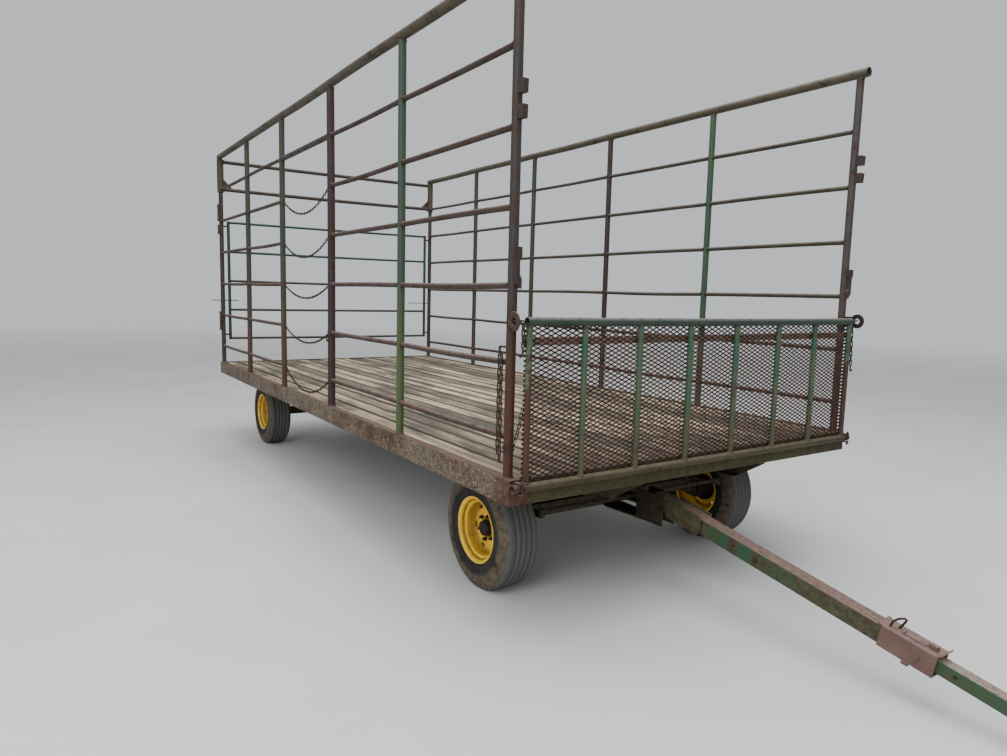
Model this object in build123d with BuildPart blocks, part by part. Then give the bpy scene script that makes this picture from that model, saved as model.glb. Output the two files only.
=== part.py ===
"""Hay wagon: a flat deck with pipe side racks on a four-wheel running gear.

Millimetres. +X points forward, to the tongue, +Y to the wagon's left and +Z up.
The origin lies on the ground below the middle of the whole wagon, tongue included.
The wagon stands as it is parked: steering straight, tongue tip on the ground.
Pipes, chain wire and tyres are many-sided, to keep the model light; the pins and
spindles that pieces turn on are round.
"""
import os
from math import asin, atan, atan2, cos, degrees, hypot, pi, sin, tan

from build123d import *

os.makedirs("parts", exist_ok=True)

# Deck
deck_length = 6096.0
deck_width = 2743.0
deck_height = 884.0            # top of the perimeter channel above the ground
channel_depth = 127.0
channel_flange = 45.0
channel_web = 7.0
cross_member_flange = 38.0
cross_member_web = 6.0
cross_member_count = 9
plank_thickness = 44.0
plank_step = 4.0               # planks' top below the channel's
plank_margin = 3.0             # between the outer planks and the channel's flange
plank_count = 19
plank_gap = 6.0
sill_offset = 520.0            # centre of each main sill from the centre line
sill_depth = 131.0
sill_width = 50.0
sill_wall = 8.0
sill_bevel = 200.0             # length of the slanted front end
fit_gap = 0.3                  # clearance between pieces that bear on each other

# Side racks
bay_count = 5
post_inset = 60.0              # first and last post centre from the deck's ends
post_edge = 30.0               # post centre from the deck's side
post_radius = 24.0
door_post_radius = 28.0
sleeve_radius = 36.0           # thick upper end of the rear posts
sleeve_skirt = 14.0            # its foot below the second rear rail
top_rail_radius = 30.0
top_rail_ahead = 30.0          # top rails' front ends beyond the posts
rail_radius = 15.5
door_rail_radius = 21.0        # the second rail, where it crosses the doorway
top_rail_height = 2339.0       # rail centres above the channel
low_rail_height = 194.0
rail_pitch = 356.8
rail_count = 6
door_bay = 2                   # counted from the rear, from 0
pipe_flats = 8                 # sides of a pipe, and of thinner bars
rod_flats = 6

# Fittings on the posts, their heights counted from the channel's top
lug_heights = (1676.0, 1786.0)         # centres, on the front posts
lug_reach = 45.0
lug_width = 30.0
lug_depth = 65.0
strap_spans = ((374.0, 595.0), (1475.0, 1580.0), (1620.0, 1810.0))    # right rear post
strap_reach = 14.0
strap_width = 44.0
catch_thickness = 19.0
catch_outline = (              # across the right front post, and height
    (-23.5, 1084.0), (23.5, 1084.0), (23.5, 1040.0), (13.0, 1024.0), (13.0, 958.0),
    (24.0, 940.0), (24.0, 894.0), (6.0, 894.0), (0.0, 914.0), (-13.0, 914.0), (-13.0, 1024.0),
    (-23.5, 1040.0))

# Chains across the doorway
chain_link_width = 28.0
chain_wire = 8.5
chain_link_pitch = 62.0
chain_gap = 0.5                # play between one link and the next
chain_lug = 8.0                # stub on the post that the end link hangs on
chain_sags = (150.0, 140.0, 110.0, 115.0, 160.0)    # from the third rail down

# Rear frame and gate
rear_rail_radius = 21.0
rear_rail_drop = 55.0          # rear top rail below the side top rails
gusset_size = 90.0
plate_thickness = 8.0
rear_gate_low = 280.0          # centres of its lowest and highest bars above the channel
rear_gate_high = 1610.0
rear_gate_bars = 5
rear_gate_side = 75.0          # from the corner post's centre to the stile's centre
rear_gate_stile = 17.0
rear_gate_bar = 14.0
rear_gate_stub = 45.0          # hinge stubs' distance inside its lowest and highest bars
rear_stub_radius = 9.0
rear_bolt_height = 720.0
rear_bolt_radius = 5.0
rear_bolt_length = 295.0
rear_bolt_out = 115.0          # right bolt's end beyond its post's centre

# Front drop gate
drop_gate_ahead = 24.0         # hinge pipe's centre ahead of the front channel's face
drop_gate_drop = 37.0          # and below its top
drop_gate_height = 782.0
gate_side_gap = 59.5           # gate's end inside the deck's side
hinge_pipe_radius = 22.0
hinge_pin_radius = 14.0
hinge_pin_depth = 60.0
hinge_cup_depth = 20.0         # open end of the outer hinge pipe
gate_pipe_radius = 21.0
gate_bar_radius = 16.0
gate_bar_count = 8
gate_strap_drop = 75.0         # flat bar below the top pipe
gate_strap_height = 38.0
gate_strap_thickness = 8.0
mesh_strand = 6.0
mesh_layer = 2.0
mesh_width = 102.0             # one opening, corner to corner
mesh_height = 46.8
eye_plate_radius = 47.0        # flat eyes beside the ends of the gate's top pipe
eye_plate_hole = 18.0
eye_plate_out = 39.0           # their inner face from the post's centre

# Running gear
front_overhang = 807.0         # front axle behind the deck's front end
rear_axle_ahead = 556.0        # rear axle ahead of the rear posts
tyre_radius = 356.0
tyre_width = 242.0
tread_width = 176.0
shoulder_radius = 306.0
bead_width = 203.0
rim_radius = 193.0
rim_wall = 7.0
disc_thickness = 9.0
wheel_flats = 24
track_half = 949.0
kingpin_half = 740.0
kingpin_radius = 19.0
boss_radius = 38.0
boss_wall = 2.0                # axle's boss wider than the knuckle's lugs
knuckle_plate = 16.0
arm_half = 22.0                # half width of the steering arms
steer_arm_forward = 260.0
steer_arm_outward = 26.0
steer_plate = 18.0             # thickness of the knuckle's lugs and arm
steer_pin_radius = 8.0
steer_pin_height = 34.0        # tie rods' pins above the lugs
rod_radius = 12.0
eye_radius = 20.0
eye_thickness = 28.0
axle_below_deck = 464.0        # front beam's centre, above the spindles
axle_tube = 80.0
bolster_depth = 100.0
bolster_half = 610.0
bolster_width = 90.0
riser_low = 170.0              # inner and outer faces of the risers on the axles
riser_high = 260.0
stake_height = 90.0
reach_width = 70.0
reach_share = 0.54             # of the room between the rear axle and its bolster
hound_ahead = 1500.0
hound_spread = 410.0
hound_radius = 20.0
spindle_radius = 30.0
hub_radius = 60.0
hub_length = 115.0
hub_flange_radius = 96.0
hub_flange = 14.0
hub_cap_radius = 40.0
hub_cap_length = 50.0
running_gap = 6.0              # between moving pieces that pass each other

# Steering yoke
yoke_plate = 12.0
yoke_back = 55.0               # behind the axle's centre pin, and half width there
yoke_back_half = 40.0
yoke_front = 60.0              # ahead of that pin, and half width there
yoke_front_half = 80.0
ear_thickness = 12.0
ear_reach = 175.0              # ears behind the tongue's pin
ear_overlap = 80.0             # ears on the yoke's plates
ear_edge = 45.0                # ears above and ahead of the tongue's pin
tongue_side_gap = 2.0
tongue_pin_out = 14.0          # pin's ends beyond the ears

# Tongue
tongue_pivot_ahead = 491.0     # ahead of the front axle
tongue_pivot_rise = 90.0       # above the front beam's centre
tongue_pin_radius = 16.0
tongue_length = 2600.0         # pivot pin to the drawbar's tip
tongue_tube = 90.0
tongue_back = 45.0             # tube's rear end behind its pin
tongue_tube_length = 1585.0
tongue_wall = 7.0
cheek_start = 75.0             # side plates, counted from the pin
cheek_end = 330.0
cheek_half = 60.0
cheek_thickness = 8.0
drawbar_size = 64.0
drawbar_overlap = 420.0        # length of the drawbar inside the tube
guide_length = 50.0            # guide blocks on the drawbar, inside the tube
drawbar_mouth = 90.0           # front guide's start behind the tube's mouth
latch_length = 250.0
latch_wall = 6.0
latch_slot_width = 36.0
latch_slot_length = 90.0
latch_lug_width = 26.0
latch_lug_length = 34.0
latch_lug_height = 22.0
hitch_length = 170.0
hitch_plate = 8.0
hitch_pin_radius = 14.0
hitch_seat = 80.0              # length of the clevis plates on the drawbar
hitch_edge = 38.0              # hole's centre behind the plates' ends
hitch_corner = 20.0            # corners cut off the plates' front ends

# Places worked out from the sizes above
axle_height = deck_height - axle_below_deck
tongue_pivot_height = axle_height + tongue_pivot_rise
hitch_half_height = drawbar_size / 2 + fit_gap + hitch_plate
slope = (asin(tongue_pivot_height / hypot(tongue_length, hitch_half_height))
         - atan2(hitch_half_height, tongue_length))
front_axle_ahead = deck_length - post_inset - front_overhang
pivot_behind_deck = front_overhang - tongue_pivot_ahead
tip_height_share = hitch_half_height * sin(slope)
tongue_reach = tongue_length * cos(slope) + tip_height_share - pivot_behind_deck
rear_face = -(deck_length + tongue_reach) / 2
front_face = rear_face + deck_length
rear_posts = rear_face + post_inset
bay = (deck_length - 2 * post_inset) / bay_count
post_xs = [rear_posts + bay * i for i in range(bay_count + 1)]
post_y = deck_width / 2 - post_edge
deck_bottom = deck_height - channel_depth
plank_top = deck_height - plank_step
cross_top = plank_top - plank_thickness
sill_bottom = deck_bottom - sill_depth
rail_heights = [deck_height + low_rail_height + rail_pitch * i for i in range(rail_count)]
second_z = rail_heights[-1]
sleeve_low = second_z - rear_rail_radius - sleeve_skirt
top_rail_z = deck_height + top_rail_height
front_axle = rear_posts + front_axle_ahead
rear_axle = rear_posts + rear_axle_ahead
hinge_x = front_face + drop_gate_ahead
hinge_z = deck_height - drop_gate_drop
drop_gate_half = deck_width / 2 - gate_side_gap
bolster_low = sill_bottom - fit_gap - bolster_depth
pivot = (front_axle + tongue_pivot_ahead, 0, tongue_pivot_height)
tongue_dir = (cos(slope), 0, -sin(slope))
tongue_plane = Plane(origin=pivot, x_dir=(0, 1, 0), z_dir=tongue_dir)
hitch_axis = (sin(slope), 0, cos(slope))
hitch_hole = (pivot[0] + (tongue_length - hitch_edge) * cos(slope), 0,
              pivot[2] - (tongue_length - hitch_edge) * sin(slope))


def save(builder, name):
    """Label a finished piece and write its STEP file."""
    builder.part.label = name
    export_step(builder.part, f"parts/{name}.step")


def bar(start, end, radius, flats=0, mode=Mode.ADD):
    """Add a bar between two points to the open part: round, or with flats at its radius."""
    run = Vector(*end) - Vector(*start)
    if flats:
        with BuildSketch(Plane(origin=start, z_dir=run)) as section:
            RegularPolygon(radius, flats, major_radius=False, rotation=180 / flats)
        extrude(section.sketch, amount=run.length, mode=mode)
    else:
        with Locations(Plane(origin=start, z_dir=run)):
            Cylinder(radius, run.length, align=(Align.CENTER, Align.CENTER, Align.MIN), mode=mode)


def block(low, high, mode=Mode.ADD):
    """Add a box between two opposite corners to the open part."""
    size = Vector(*high) - Vector(*low)
    with Locations((Vector(*low) + Vector(*high)) / 2):
        Box(abs(size.X), abs(size.Y), abs(size.Z), mode=mode)


def channel(plane, depth, flange, web, side, length):
    """Add a channel to the open part: back and top at the plane's origin, flanges to side."""
    with BuildSketch(plane) as section:
        with BuildLine():
            Polyline((0, 0), (side * flange, 0), (side * flange, -web), (side * web, -web),
                     (side * web, web - depth), (side * flange, web - depth),
                     (side * flange, -depth), (0, -depth), close=True)
        make_face()
    extrude(section.sketch, amount=length)


def turned(plane, profile, flats):
    """Add a ring to the open part: (radius, height) points turned round in flat steps."""
    outward = 1 / cos(pi / flats)
    rings = []
    for i in range(flats):
        angle = (i + 0.5) * 2 * pi / flats
        rings.append([plane.from_local_coords((radius * outward * cos(angle),
                                               radius * outward * sin(angle), height))
                      for radius, height in profile])
    faces = []
    for i, ring in enumerate(rings):
        after = rings[(i + 1) % flats]
        for j in range(len(profile)):
            k = (j + 1) % len(profile)
            faces.append(Face(Wire.make_polygon((ring[j], ring[k], after[k], after[j]))))
    add(Solid(Shell(faces)))


def post_size(side, index, z):
    """Radius of a rack post at a height."""
    if side < 0 and index == door_bay + 1:
        return door_post_radius
    return sleeve_radius if index == 0 and z > sleeve_low else post_radius


# Perimeter channels: the side members run the full length, the end ones between them
with BuildPart() as side_channels:
    for side in (-1, 1):
        channel(Plane(origin=(rear_face, side * deck_width / 2, deck_height),
                      x_dir=(0, 1, 0), z_dir=(1, 0, 0)),
                channel_depth, channel_flange, channel_web, -side, deck_length)
save(side_channels, "side_channels")

end_half = deck_width / 2 - channel_flange - fit_gap
with BuildPart() as end_channels:
    for face, side in ((rear_face, 1), (front_face, -1)):
        channel(Plane(origin=(face, side * end_half, deck_height),
                      x_dir=(side, 0, 0), z_dir=(0, -side, 0)),
                channel_depth, channel_flange, channel_web, 1, 2 * end_half)
save(end_channels, "end_channels")

# Cross members lie between the side channels' webs, on the main sills
cross_half = deck_width / 2 - channel_flange - fit_gap
cross_pitch = deck_length / (cross_member_count + 1)
with BuildPart() as cross_members:
    for i in range(cross_member_count):
        x = rear_face + cross_pitch * (i + 1)
        channel(Plane(origin=(x, cross_half, cross_top - fit_gap),
                      x_dir=(1, 0, 0), z_dir=(0, -1, 0)),
                cross_top - fit_gap - deck_bottom, cross_member_flange, cross_member_web,
                1, 2 * cross_half)
save(cross_members, "cross_members")

# Main sills: channels below the deck, their front ends cut on a slant
with BuildPart() as main_sills:
    for side in (-1, 1):
        back = side * (sill_offset + sill_width / 2)
        channel(Plane(origin=(rear_face, back, deck_bottom - fit_gap),
                      x_dir=(0, 1, 0), z_dir=(1, 0, 0)),
                sill_depth - fit_gap, sill_width, sill_wall, -side, deck_length - channel_web)
    with BuildSketch(Plane.XZ.offset(-sill_offset - sill_width)):
        with BuildLine():
            tip = front_face - channel_web
            Polyline((tip - sill_bevel, sill_bottom), (tip, deck_bottom - sill_wall),
                     (tip, sill_bottom), close=True)
        make_face()
    extrude(amount=2 * (sill_offset + sill_width), mode=Mode.SUBTRACT)
save(main_sills, "main_sills")

# Deck planks run the length of the deck on the cross members
plank_half = deck_width / 2 - channel_flange - plank_margin
plank_width = (2 * plank_half - plank_gap * (plank_count - 1)) / plank_count
plank_end = channel_flange + plank_margin
with BuildPart() as deck_planks:
    for i in range(plank_count):
        y = -plank_half + i * (plank_width + plank_gap)
        block((rear_face + plank_end, y, cross_top),
              (front_face - plank_end, y + plank_width, plank_top))
save(deck_planks, "deck_planks")

# Posts stand on the side channels' top flanges, under the top rails
post_top = top_rail_z - top_rail_radius - fit_gap
post_front = post_xs[-1] + post_radius + fit_gap
for name, side in (("right_posts", -1), ("left_posts", 1)):
    y = side * post_y
    with BuildPart() as posts:
        for i, x in enumerate(post_xs):
            bar((x, y, deck_height + fit_gap), (x, y, post_top if i else sleeve_low - fit_gap),
                post_size(side, i, deck_height), pipe_flats)
        bar((rear_posts, y, sleeve_low), (rear_posts, y, post_top), sleeve_radius, pipe_flats)
        for height in lug_heights:
            z = deck_height + height
            block((post_front, y - lug_width / 2, z - lug_depth / 2),
                  (post_front + lug_reach, y + lug_width / 2, z + lug_depth / 2))
        if side < 0:
            near = y - post_radius
            for low, high in strap_spans:
                block((rear_posts - strap_width / 2, near - strap_reach, deck_height + low),
                      (rear_posts + strap_width / 2, near - fit_gap, deck_height + high))
            with BuildSketch(Plane(origin=(post_front, y, deck_height),
                                   x_dir=(0, 1, 0), z_dir=(1, 0, 0))):
                with BuildLine():
                    Polyline(*catch_outline, close=True)
                make_face()
            extrude(amount=catch_thickness)
    save(posts, name)

# Top rails along both sides, over the posts
with BuildPart() as top_rails:
    for side in (-1, 1):
        bar((rear_posts - sleeve_radius, side * post_y, top_rail_z),
            (post_xs[-1] + post_radius + top_rail_ahead, side * post_y, top_rail_z),
            top_rail_radius, pipe_flats)
save(top_rails, "top_rails")

# Lower rails are cut between the posts; the doorway has the highest of them only
for name, side in (("right_rails", -1), ("left_rails", 1)):
    with BuildPart() as rails:
        for level, z in enumerate(rail_heights):
            for i in range(bay_count):
                in_door = side < 0 and i == door_bay
                if in_door and level < rail_count - 1:
                    continue
                bar((post_xs[i] + post_size(side, i, z) + fit_gap, side * post_y, z),
                    (post_xs[i + 1] - post_size(side, i + 1, z) - fit_gap, side * post_y, z),
                    door_rail_radius if in_door else rail_radius,
                    pipe_flats if in_door else rod_flats)
    save(rails, name)

# Chains hang across the doorway: open links, each through the next, along a shallow arc
lug0 = post_xs[door_bay] + post_size(-1, door_bay, deck_height) + fit_gap
lug1 = post_xs[door_bay + 1] - post_size(-1, door_bay + 1, deck_height) - fit_gap
with BuildPart() as doorway_chains:
    for level, sag in enumerate(chain_sags):
        z = rail_heights[rail_count - 2 - level]
        for end, way in ((lug0, 1), (lug1, -1)):
            bar((end, -post_y, z), (end + way * chain_lug, -post_y, z), chain_wire / 2,
                rod_flats)
        end_tilt = 2 * atan(2 * sag / (lug1 - lug0))
        inset = chain_lug + fit_gap + chain_wire * (cos(end_tilt) + sin(end_tilt) / 2)
        x0, x1 = lug0 + inset, lug1 - inset
        with BuildLine() as hanging:
            ThreePointArc((x0, -post_y, z), ((x0 + x1) / 2, -post_y, z - sag), (x1, -post_y, z))
        arc = hanging.edge()
        links = 2 * round(arc.length / chain_link_pitch / 2) + 1
        knots = [arc @ (i / links) for i in range(links + 1)]
        planes = []
        for i in range(links):
            run = knots[i + 1] - knots[i]
            across = run.cross(Vector(0, 1, 0)) if i % 2 == 0 else Vector(0, 1, 0)
            planes.append(Plane(origin=(knots[i] + knots[i + 1]) / 2, x_dir=run, z_dir=across))
        inside = run.length + chain_gap
        with BuildSketch(*planes):
            Rectangle(inside + 2 * chain_wire, chain_link_width)
            Rectangle(inside, chain_link_width - 2 * chain_wire, mode=Mode.SUBTRACT)
        extrude(amount=chain_wire / 2, both=True)
save(doorway_chains, "doorway_chains")

# Rear rails between the corner posts, with a gusset at each end of the lower one
inner_y = post_y - sleeve_radius - fit_gap
with BuildPart() as rear_rails:
    for z in (top_rail_z - rear_rail_drop, second_z):
        bar((rear_posts, -inner_y, z), (rear_posts, inner_y, z), rear_rail_radius, pipe_flats)
    base = second_z + rear_rail_radius + fit_gap
    with BuildSketch(Plane(origin=(rear_posts, 0, 0), x_dir=(0, 1, 0), z_dir=(1, 0, 0))):
        for side in (-1, 1):
            with BuildLine():
                Polyline((side * inner_y, base), (side * inner_y, base + gusset_size),
                         (side * (inner_y - gusset_size), base), close=True)
            make_face()
    extrude(amount=plate_thickness / 2, both=True)
save(rear_rails, "rear_rails")

bolt_x = rear_posts - post_radius - rear_bolt_radius - fit_gap
bolt_z = deck_height + rear_bolt_height

# Rear gate: two round stiles and five bars, swung between the corner posts on short stubs
stile_y = post_y - rear_gate_side
gate_low = deck_height + rear_gate_low
gate_high = deck_height + rear_gate_high
with BuildPart() as rear_gate:
    for side in (-1, 1):
        bar((rear_posts, side * stile_y, gate_low), (rear_posts, side * stile_y, gate_high),
            rear_gate_stile)
    for i in range(rear_gate_bars):
        z = gate_low + (gate_high - gate_low) * i / (rear_gate_bars - 1)
        end = stile_y - rear_gate_stile - fit_gap
        bar((rear_posts, -end, z), (rear_posts, end, z), rear_gate_bar, rod_flats)
    bar((bolt_x, post_y + rear_bolt_radius, bolt_z),
        (bolt_x, post_y + rear_bolt_radius - rear_bolt_length, bolt_z), rear_bolt_radius,
        pipe_flats)
save(rear_gate, "rear_gate")

# Stubs on the corner posts that carry the rear gate, and the bolt on the right post
stub_y = post_y - post_radius - fit_gap
with BuildPart() as rear_gate_stubs:
    for side in (-1, 1):
        for z in (gate_low + rear_gate_stub, gate_high - rear_gate_stub):
            bar((rear_posts, side * stub_y, z),
                (rear_posts, side * (stile_y + rear_gate_stile + fit_gap), z), rear_stub_radius,
                rod_flats)
    bar((bolt_x, -post_y - rear_bolt_out, bolt_z),
        (bolt_x, -post_y - rear_bolt_out + rear_bolt_length, bolt_z), rear_bolt_radius, pipe_flats)
save(rear_gate_stubs, "rear_gate_stubs")

# Drop gate: a top pipe and eight bars on the hinge pipe
gate_top_z = hinge_z + drop_gate_height
bar_back = hinge_x - gate_bar_radius
with BuildPart() as drop_gate:
    bar((hinge_x, -drop_gate_half, hinge_z), (hinge_x, drop_gate_half, hinge_z),
        hinge_pipe_radius, pipe_flats)
    for side in (-1, 1):
        bar((hinge_x, side * drop_gate_half, hinge_z),
            (hinge_x, side * (drop_gate_half - hinge_pin_depth), hinge_z),
            hinge_pin_radius + fit_gap, pipe_flats, mode=Mode.SUBTRACT)
    bar((hinge_x, -drop_gate_half, gate_top_z), (hinge_x, drop_gate_half, gate_top_z),
        gate_pipe_radius, pipe_flats)
    first_bar = drop_gate_half - gate_bar_radius / cos(pi / rod_flats)
    for i in range(gate_bar_count):
        y = -first_bar + 2 * first_bar * i / (gate_bar_count - 1)
        bar((hinge_x, y, hinge_z + hinge_pipe_radius + fit_gap),
            (hinge_x, y, gate_top_z - gate_pipe_radius - fit_gap), gate_bar_radius, rod_flats)
save(drop_gate, "drop_gate")

# Mesh on the gate's bars: two layers of slanting strands with diamond openings between
mesh_low = hinge_z + hinge_pipe_radius
mesh_high = gate_top_z - gate_pipe_radius
mesh_middle = (mesh_low + mesh_high) / 2
mesh_slope = atan2(mesh_height, mesh_width)
strand_run = 2 * drop_gate_half * tan(mesh_slope) + mesh_high - mesh_low
strand_count = int(strand_run / mesh_height)
strand_length = 2 * drop_gate_half / cos(mesh_slope) + strand_run
with BuildPart() as drop_gate_mesh:
    for layer, lean in enumerate((1, -1)):
        front = bar_back - fit_gap - layer * (mesh_layer + fit_gap)
        with BuildSketch(Plane(origin=(front - mesh_layer, 0, mesh_middle),
                               x_dir=(0, 1, 0), z_dir=(1, 0, 0))):
            for i in range(strand_count):
                with Locations((0, (i - (strand_count - 1) / 2) * mesh_height)):
                    Rectangle(strand_length, mesh_strand,
                              rotation=lean * degrees(mesh_slope))
            Rectangle(2 * drop_gate_half, mesh_high - mesh_low, mode=Mode.INTERSECT)
        extrude(amount=mesh_layer)
save(drop_gate_mesh, "drop_gate_mesh")

with BuildPart() as drop_gate_strap:
    back = bar_back - 3 * fit_gap - 2 * mesh_layer
    block((back - gate_strap_thickness, -drop_gate_half,
           gate_top_z - gate_strap_drop - gate_strap_height),
          (back, drop_gate_half, gate_top_z - gate_strap_drop))
save(drop_gate_strap, "drop_gate_strap")

# Hinge plates on the deck's front corners, each with an open pipe end and the gate's pin
with BuildPart() as gate_hinges:
    for side in (-1, 1):
        near = drop_gate_half + fit_gap
        end = deck_width / 2 - fit_gap
        block((front_face + fit_gap, side * near, hinge_z - hinge_pipe_radius),
              (hinge_x + hinge_pipe_radius, side * (near + plate_thickness),
               hinge_z + hinge_pipe_radius))
        bar((hinge_x, side * near, hinge_z), (hinge_x, side * end, hinge_z),
            hinge_pipe_radius, pipe_flats)
        bar((hinge_x, side * end, hinge_z), (hinge_x, side * (end - hinge_cup_depth), hinge_z),
            hinge_pin_radius, pipe_flats, mode=Mode.SUBTRACT)
        bar((hinge_x, side * near, hinge_z),
            (hinge_x, side * (drop_gate_half - hinge_pin_depth + running_gap), hinge_z),
            hinge_pin_radius)
save(gate_hinges, "gate_hinges")

# Flat eyes on the front posts, beside the ends of the gate's top pipe
eye_in = post_y + eye_plate_out
with BuildPart() as gate_latches:
    for side in (-1, 1):
        bar((hinge_x, side * eye_in, gate_top_z),
            (hinge_x, side * (eye_in + plate_thickness), gate_top_z), eye_plate_radius, pipe_flats)
        block((post_front, side * post_y, gate_top_z - lug_width / 2),
              (hinge_x, side * eye_in, gate_top_z + lug_width / 2))
        bar((hinge_x, side * post_y, gate_top_z),
            (hinge_x, side * (eye_in + plate_thickness), gate_top_z), eye_plate_hole,
            rod_flats, mode=Mode.SUBTRACT)
save(gate_latches, "gate_latches")

# Front axle beam with a kingpin boss at each end
beam_low = axle_height - axle_tube / 2
beam_high = axle_height + axle_tube / 2
with BuildPart() as front_axle_beam:
    block((front_axle - axle_tube / 2, -kingpin_half, beam_low),
          (front_axle + axle_tube / 2, kingpin_half, beam_high))
    for side in (-1, 1):
        bar((front_axle, side * kingpin_half, beam_low),
            (front_axle, side * kingpin_half, beam_high), boss_radius + boss_wall, pipe_flats)
    for y in (-kingpin_half, 0, kingpin_half):
        bar((front_axle, y, beam_low), (front_axle, y, beam_high),
            kingpin_radius + fit_gap, pipe_flats, mode=Mode.SUBTRACT)
save(front_axle_beam, "front_axle")

# Rear axle: a beam at spindle height, with the spindles at its ends
spindle_end = track_half - disc_thickness
rear_beam_half = track_half - hub_length - running_gap
rear_beam_high = tyre_radius + axle_tube / 2
with BuildPart() as rear_axle_beam:
    block((rear_axle - axle_tube / 2, -rear_beam_half, tyre_radius - axle_tube / 2),
          (rear_axle + axle_tube / 2, rear_beam_half, rear_beam_high))
    bar((rear_axle, -spindle_end, tyre_radius), (rear_axle, spindle_end, tyre_radius),
        spindle_radius)
save(rear_axle_beam, "rear_axle")

# Bolsters under the sills, with risers down to the axles and stakes beside the sills
bolster_high = bolster_low + bolster_depth
stake_in = sill_offset + sill_width / 2 + fit_gap
for name, x, axle_top in (("front_bolster", front_axle, beam_high),
                          ("rear_bolster", rear_axle, rear_beam_high)):
    with BuildPart() as bolster:
        block((x - bolster_width / 2, -bolster_half, bolster_low),
              (x + bolster_width / 2, bolster_half, bolster_high))
        for side in (-1, 1):
            block((x - axle_tube / 2, side * riser_low, axle_top + fit_gap),
                  (x + axle_tube / 2, side * riser_high, bolster_low))
            block((x - axle_tube / 2, side * stake_in, bolster_high),
                  (x + axle_tube / 2, side * bolster_half, bolster_high + stake_height))
    save(bolster, name)

# Reach pole between the bolsters, and the hounds that brace it to the rear axle
reach_depth = reach_share * (bolster_low - rear_beam_high)
reach_high = bolster_low - fit_gap
hound_angle = atan2(hound_spread, hound_ahead)
hound_corner = hound_radius / cos(pi / pipe_flats)
hound_y = reach_width / 2 + hound_corner * cos(hound_angle) + fit_gap
with BuildPart() as reach_pole:
    block((rear_axle - bolster_width / 2, -reach_width / 2, reach_high - reach_depth),
          (front_axle - axle_tube, reach_width / 2, reach_high))
save(reach_pole, "reach_pole")

with BuildPart() as reach_hounds:
    for side in (-1, 1):
        bar((rear_axle + hound_ahead, side * hound_y, reach_high - reach_depth / 2),
            (rear_axle + axle_tube / 2 + hound_corner * sin(hound_angle) + fit_gap,
             side * (hound_y + hound_spread), tyre_radius), hound_radius, pipe_flats)
save(reach_hounds, "reach_hounds")

# Steering yoke: two plates on the axle's centre pin, and the ears of the tongue's pin
ear_in = tongue_tube / 2 + tongue_side_gap
ear_out = ear_in + ear_thickness
ear_back = tongue_pivot_ahead - ear_reach
yoke_low = beam_low - fit_gap - yoke_plate
yoke_high = beam_high + fit_gap + yoke_plate
lug_low = beam_high + fit_gap
lug_high = lug_low + steer_plate
arm_x = front_axle + steer_arm_forward
with BuildPart() as steering_yoke:
    for z in (beam_high + fit_gap, yoke_low):
        with BuildSketch(Plane.XY.offset(z)):
            with BuildLine():
                Polyline((front_axle - yoke_back, -yoke_back_half),
                         (front_axle + yoke_front, -yoke_front_half),
                         (front_axle + ear_back + ear_overlap, -ear_out),
                         (front_axle + ear_back + ear_overlap, ear_out),
                         (front_axle + yoke_front, yoke_front_half),
                         (front_axle - yoke_back, yoke_back_half), close=True)
            make_face()
        extrude(amount=yoke_plate)
    for side in (-1, 1):
        block((front_axle + ear_back, side * ear_in, yoke_low),
              (pivot[0] + ear_edge, side * ear_out, tongue_pivot_height + ear_edge))
        bar((arm_x, side * steer_arm_outward, lug_low),
            (arm_x, side * steer_arm_outward, lug_high + steer_pin_height), steer_pin_radius)
    bar((pivot[0], -ear_out - tongue_pin_out, pivot[2]),
        (pivot[0], ear_out + tongue_pin_out, pivot[2]), tongue_pin_radius)
    bar((front_axle, 0, yoke_low), (front_axle, 0, yoke_high), kingpin_radius)
save(steering_yoke, "steering_yoke")

# Knuckles: lugs above and below the axle's boss, a plate, a spindle and a steering arm
plate_in = (boss_radius + boss_wall) / cos(pi / pipe_flats) + running_gap
plate_out = plate_in + knuckle_plate
lower_lug = beam_low - fit_gap - steer_plate
for name, side in (("knuckle_right", -1), ("knuckle_left", 1)):
    k = side * kingpin_half
    arm_y = k + side * steer_arm_outward
    with BuildPart() as knuckle:
        for low in (lug_low, lower_lug):
            block((front_axle - boss_radius, k - side * boss_radius, low),
                  (front_axle + boss_radius, k + side * plate_out, low + steer_plate))
        block((front_axle - boss_radius, k + side * plate_in,
               min(lower_lug, tyre_radius - boss_radius)),
              (front_axle + boss_radius, k + side * plate_out,
               max(lug_high, tyre_radius + boss_radius)))
        bar((front_axle, k, lower_lug), (front_axle, k, lug_high), kingpin_radius)
        bar((front_axle, k + side * plate_in, tyre_radius),
            (front_axle, side * spindle_end, tyre_radius), spindle_radius)
        with BuildSketch(Plane.XY.offset(lug_low)):
            with BuildLine():
                Polyline((front_axle, k - arm_half), (arm_x, arm_y - arm_half),
                         (arm_x + arm_half, arm_y - arm_half / 2),
                         (arm_x + arm_half, arm_y + arm_half / 2),
                         (arm_x, arm_y + arm_half), (front_axle, k + arm_half), close=True)
            make_face()
        extrude(amount=steer_plate)
        bar((arm_x, arm_y, lug_low), (arm_x, arm_y, lug_high + steer_pin_height),
            steer_pin_radius, pipe_flats)
    save(knuckle, name)

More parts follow.
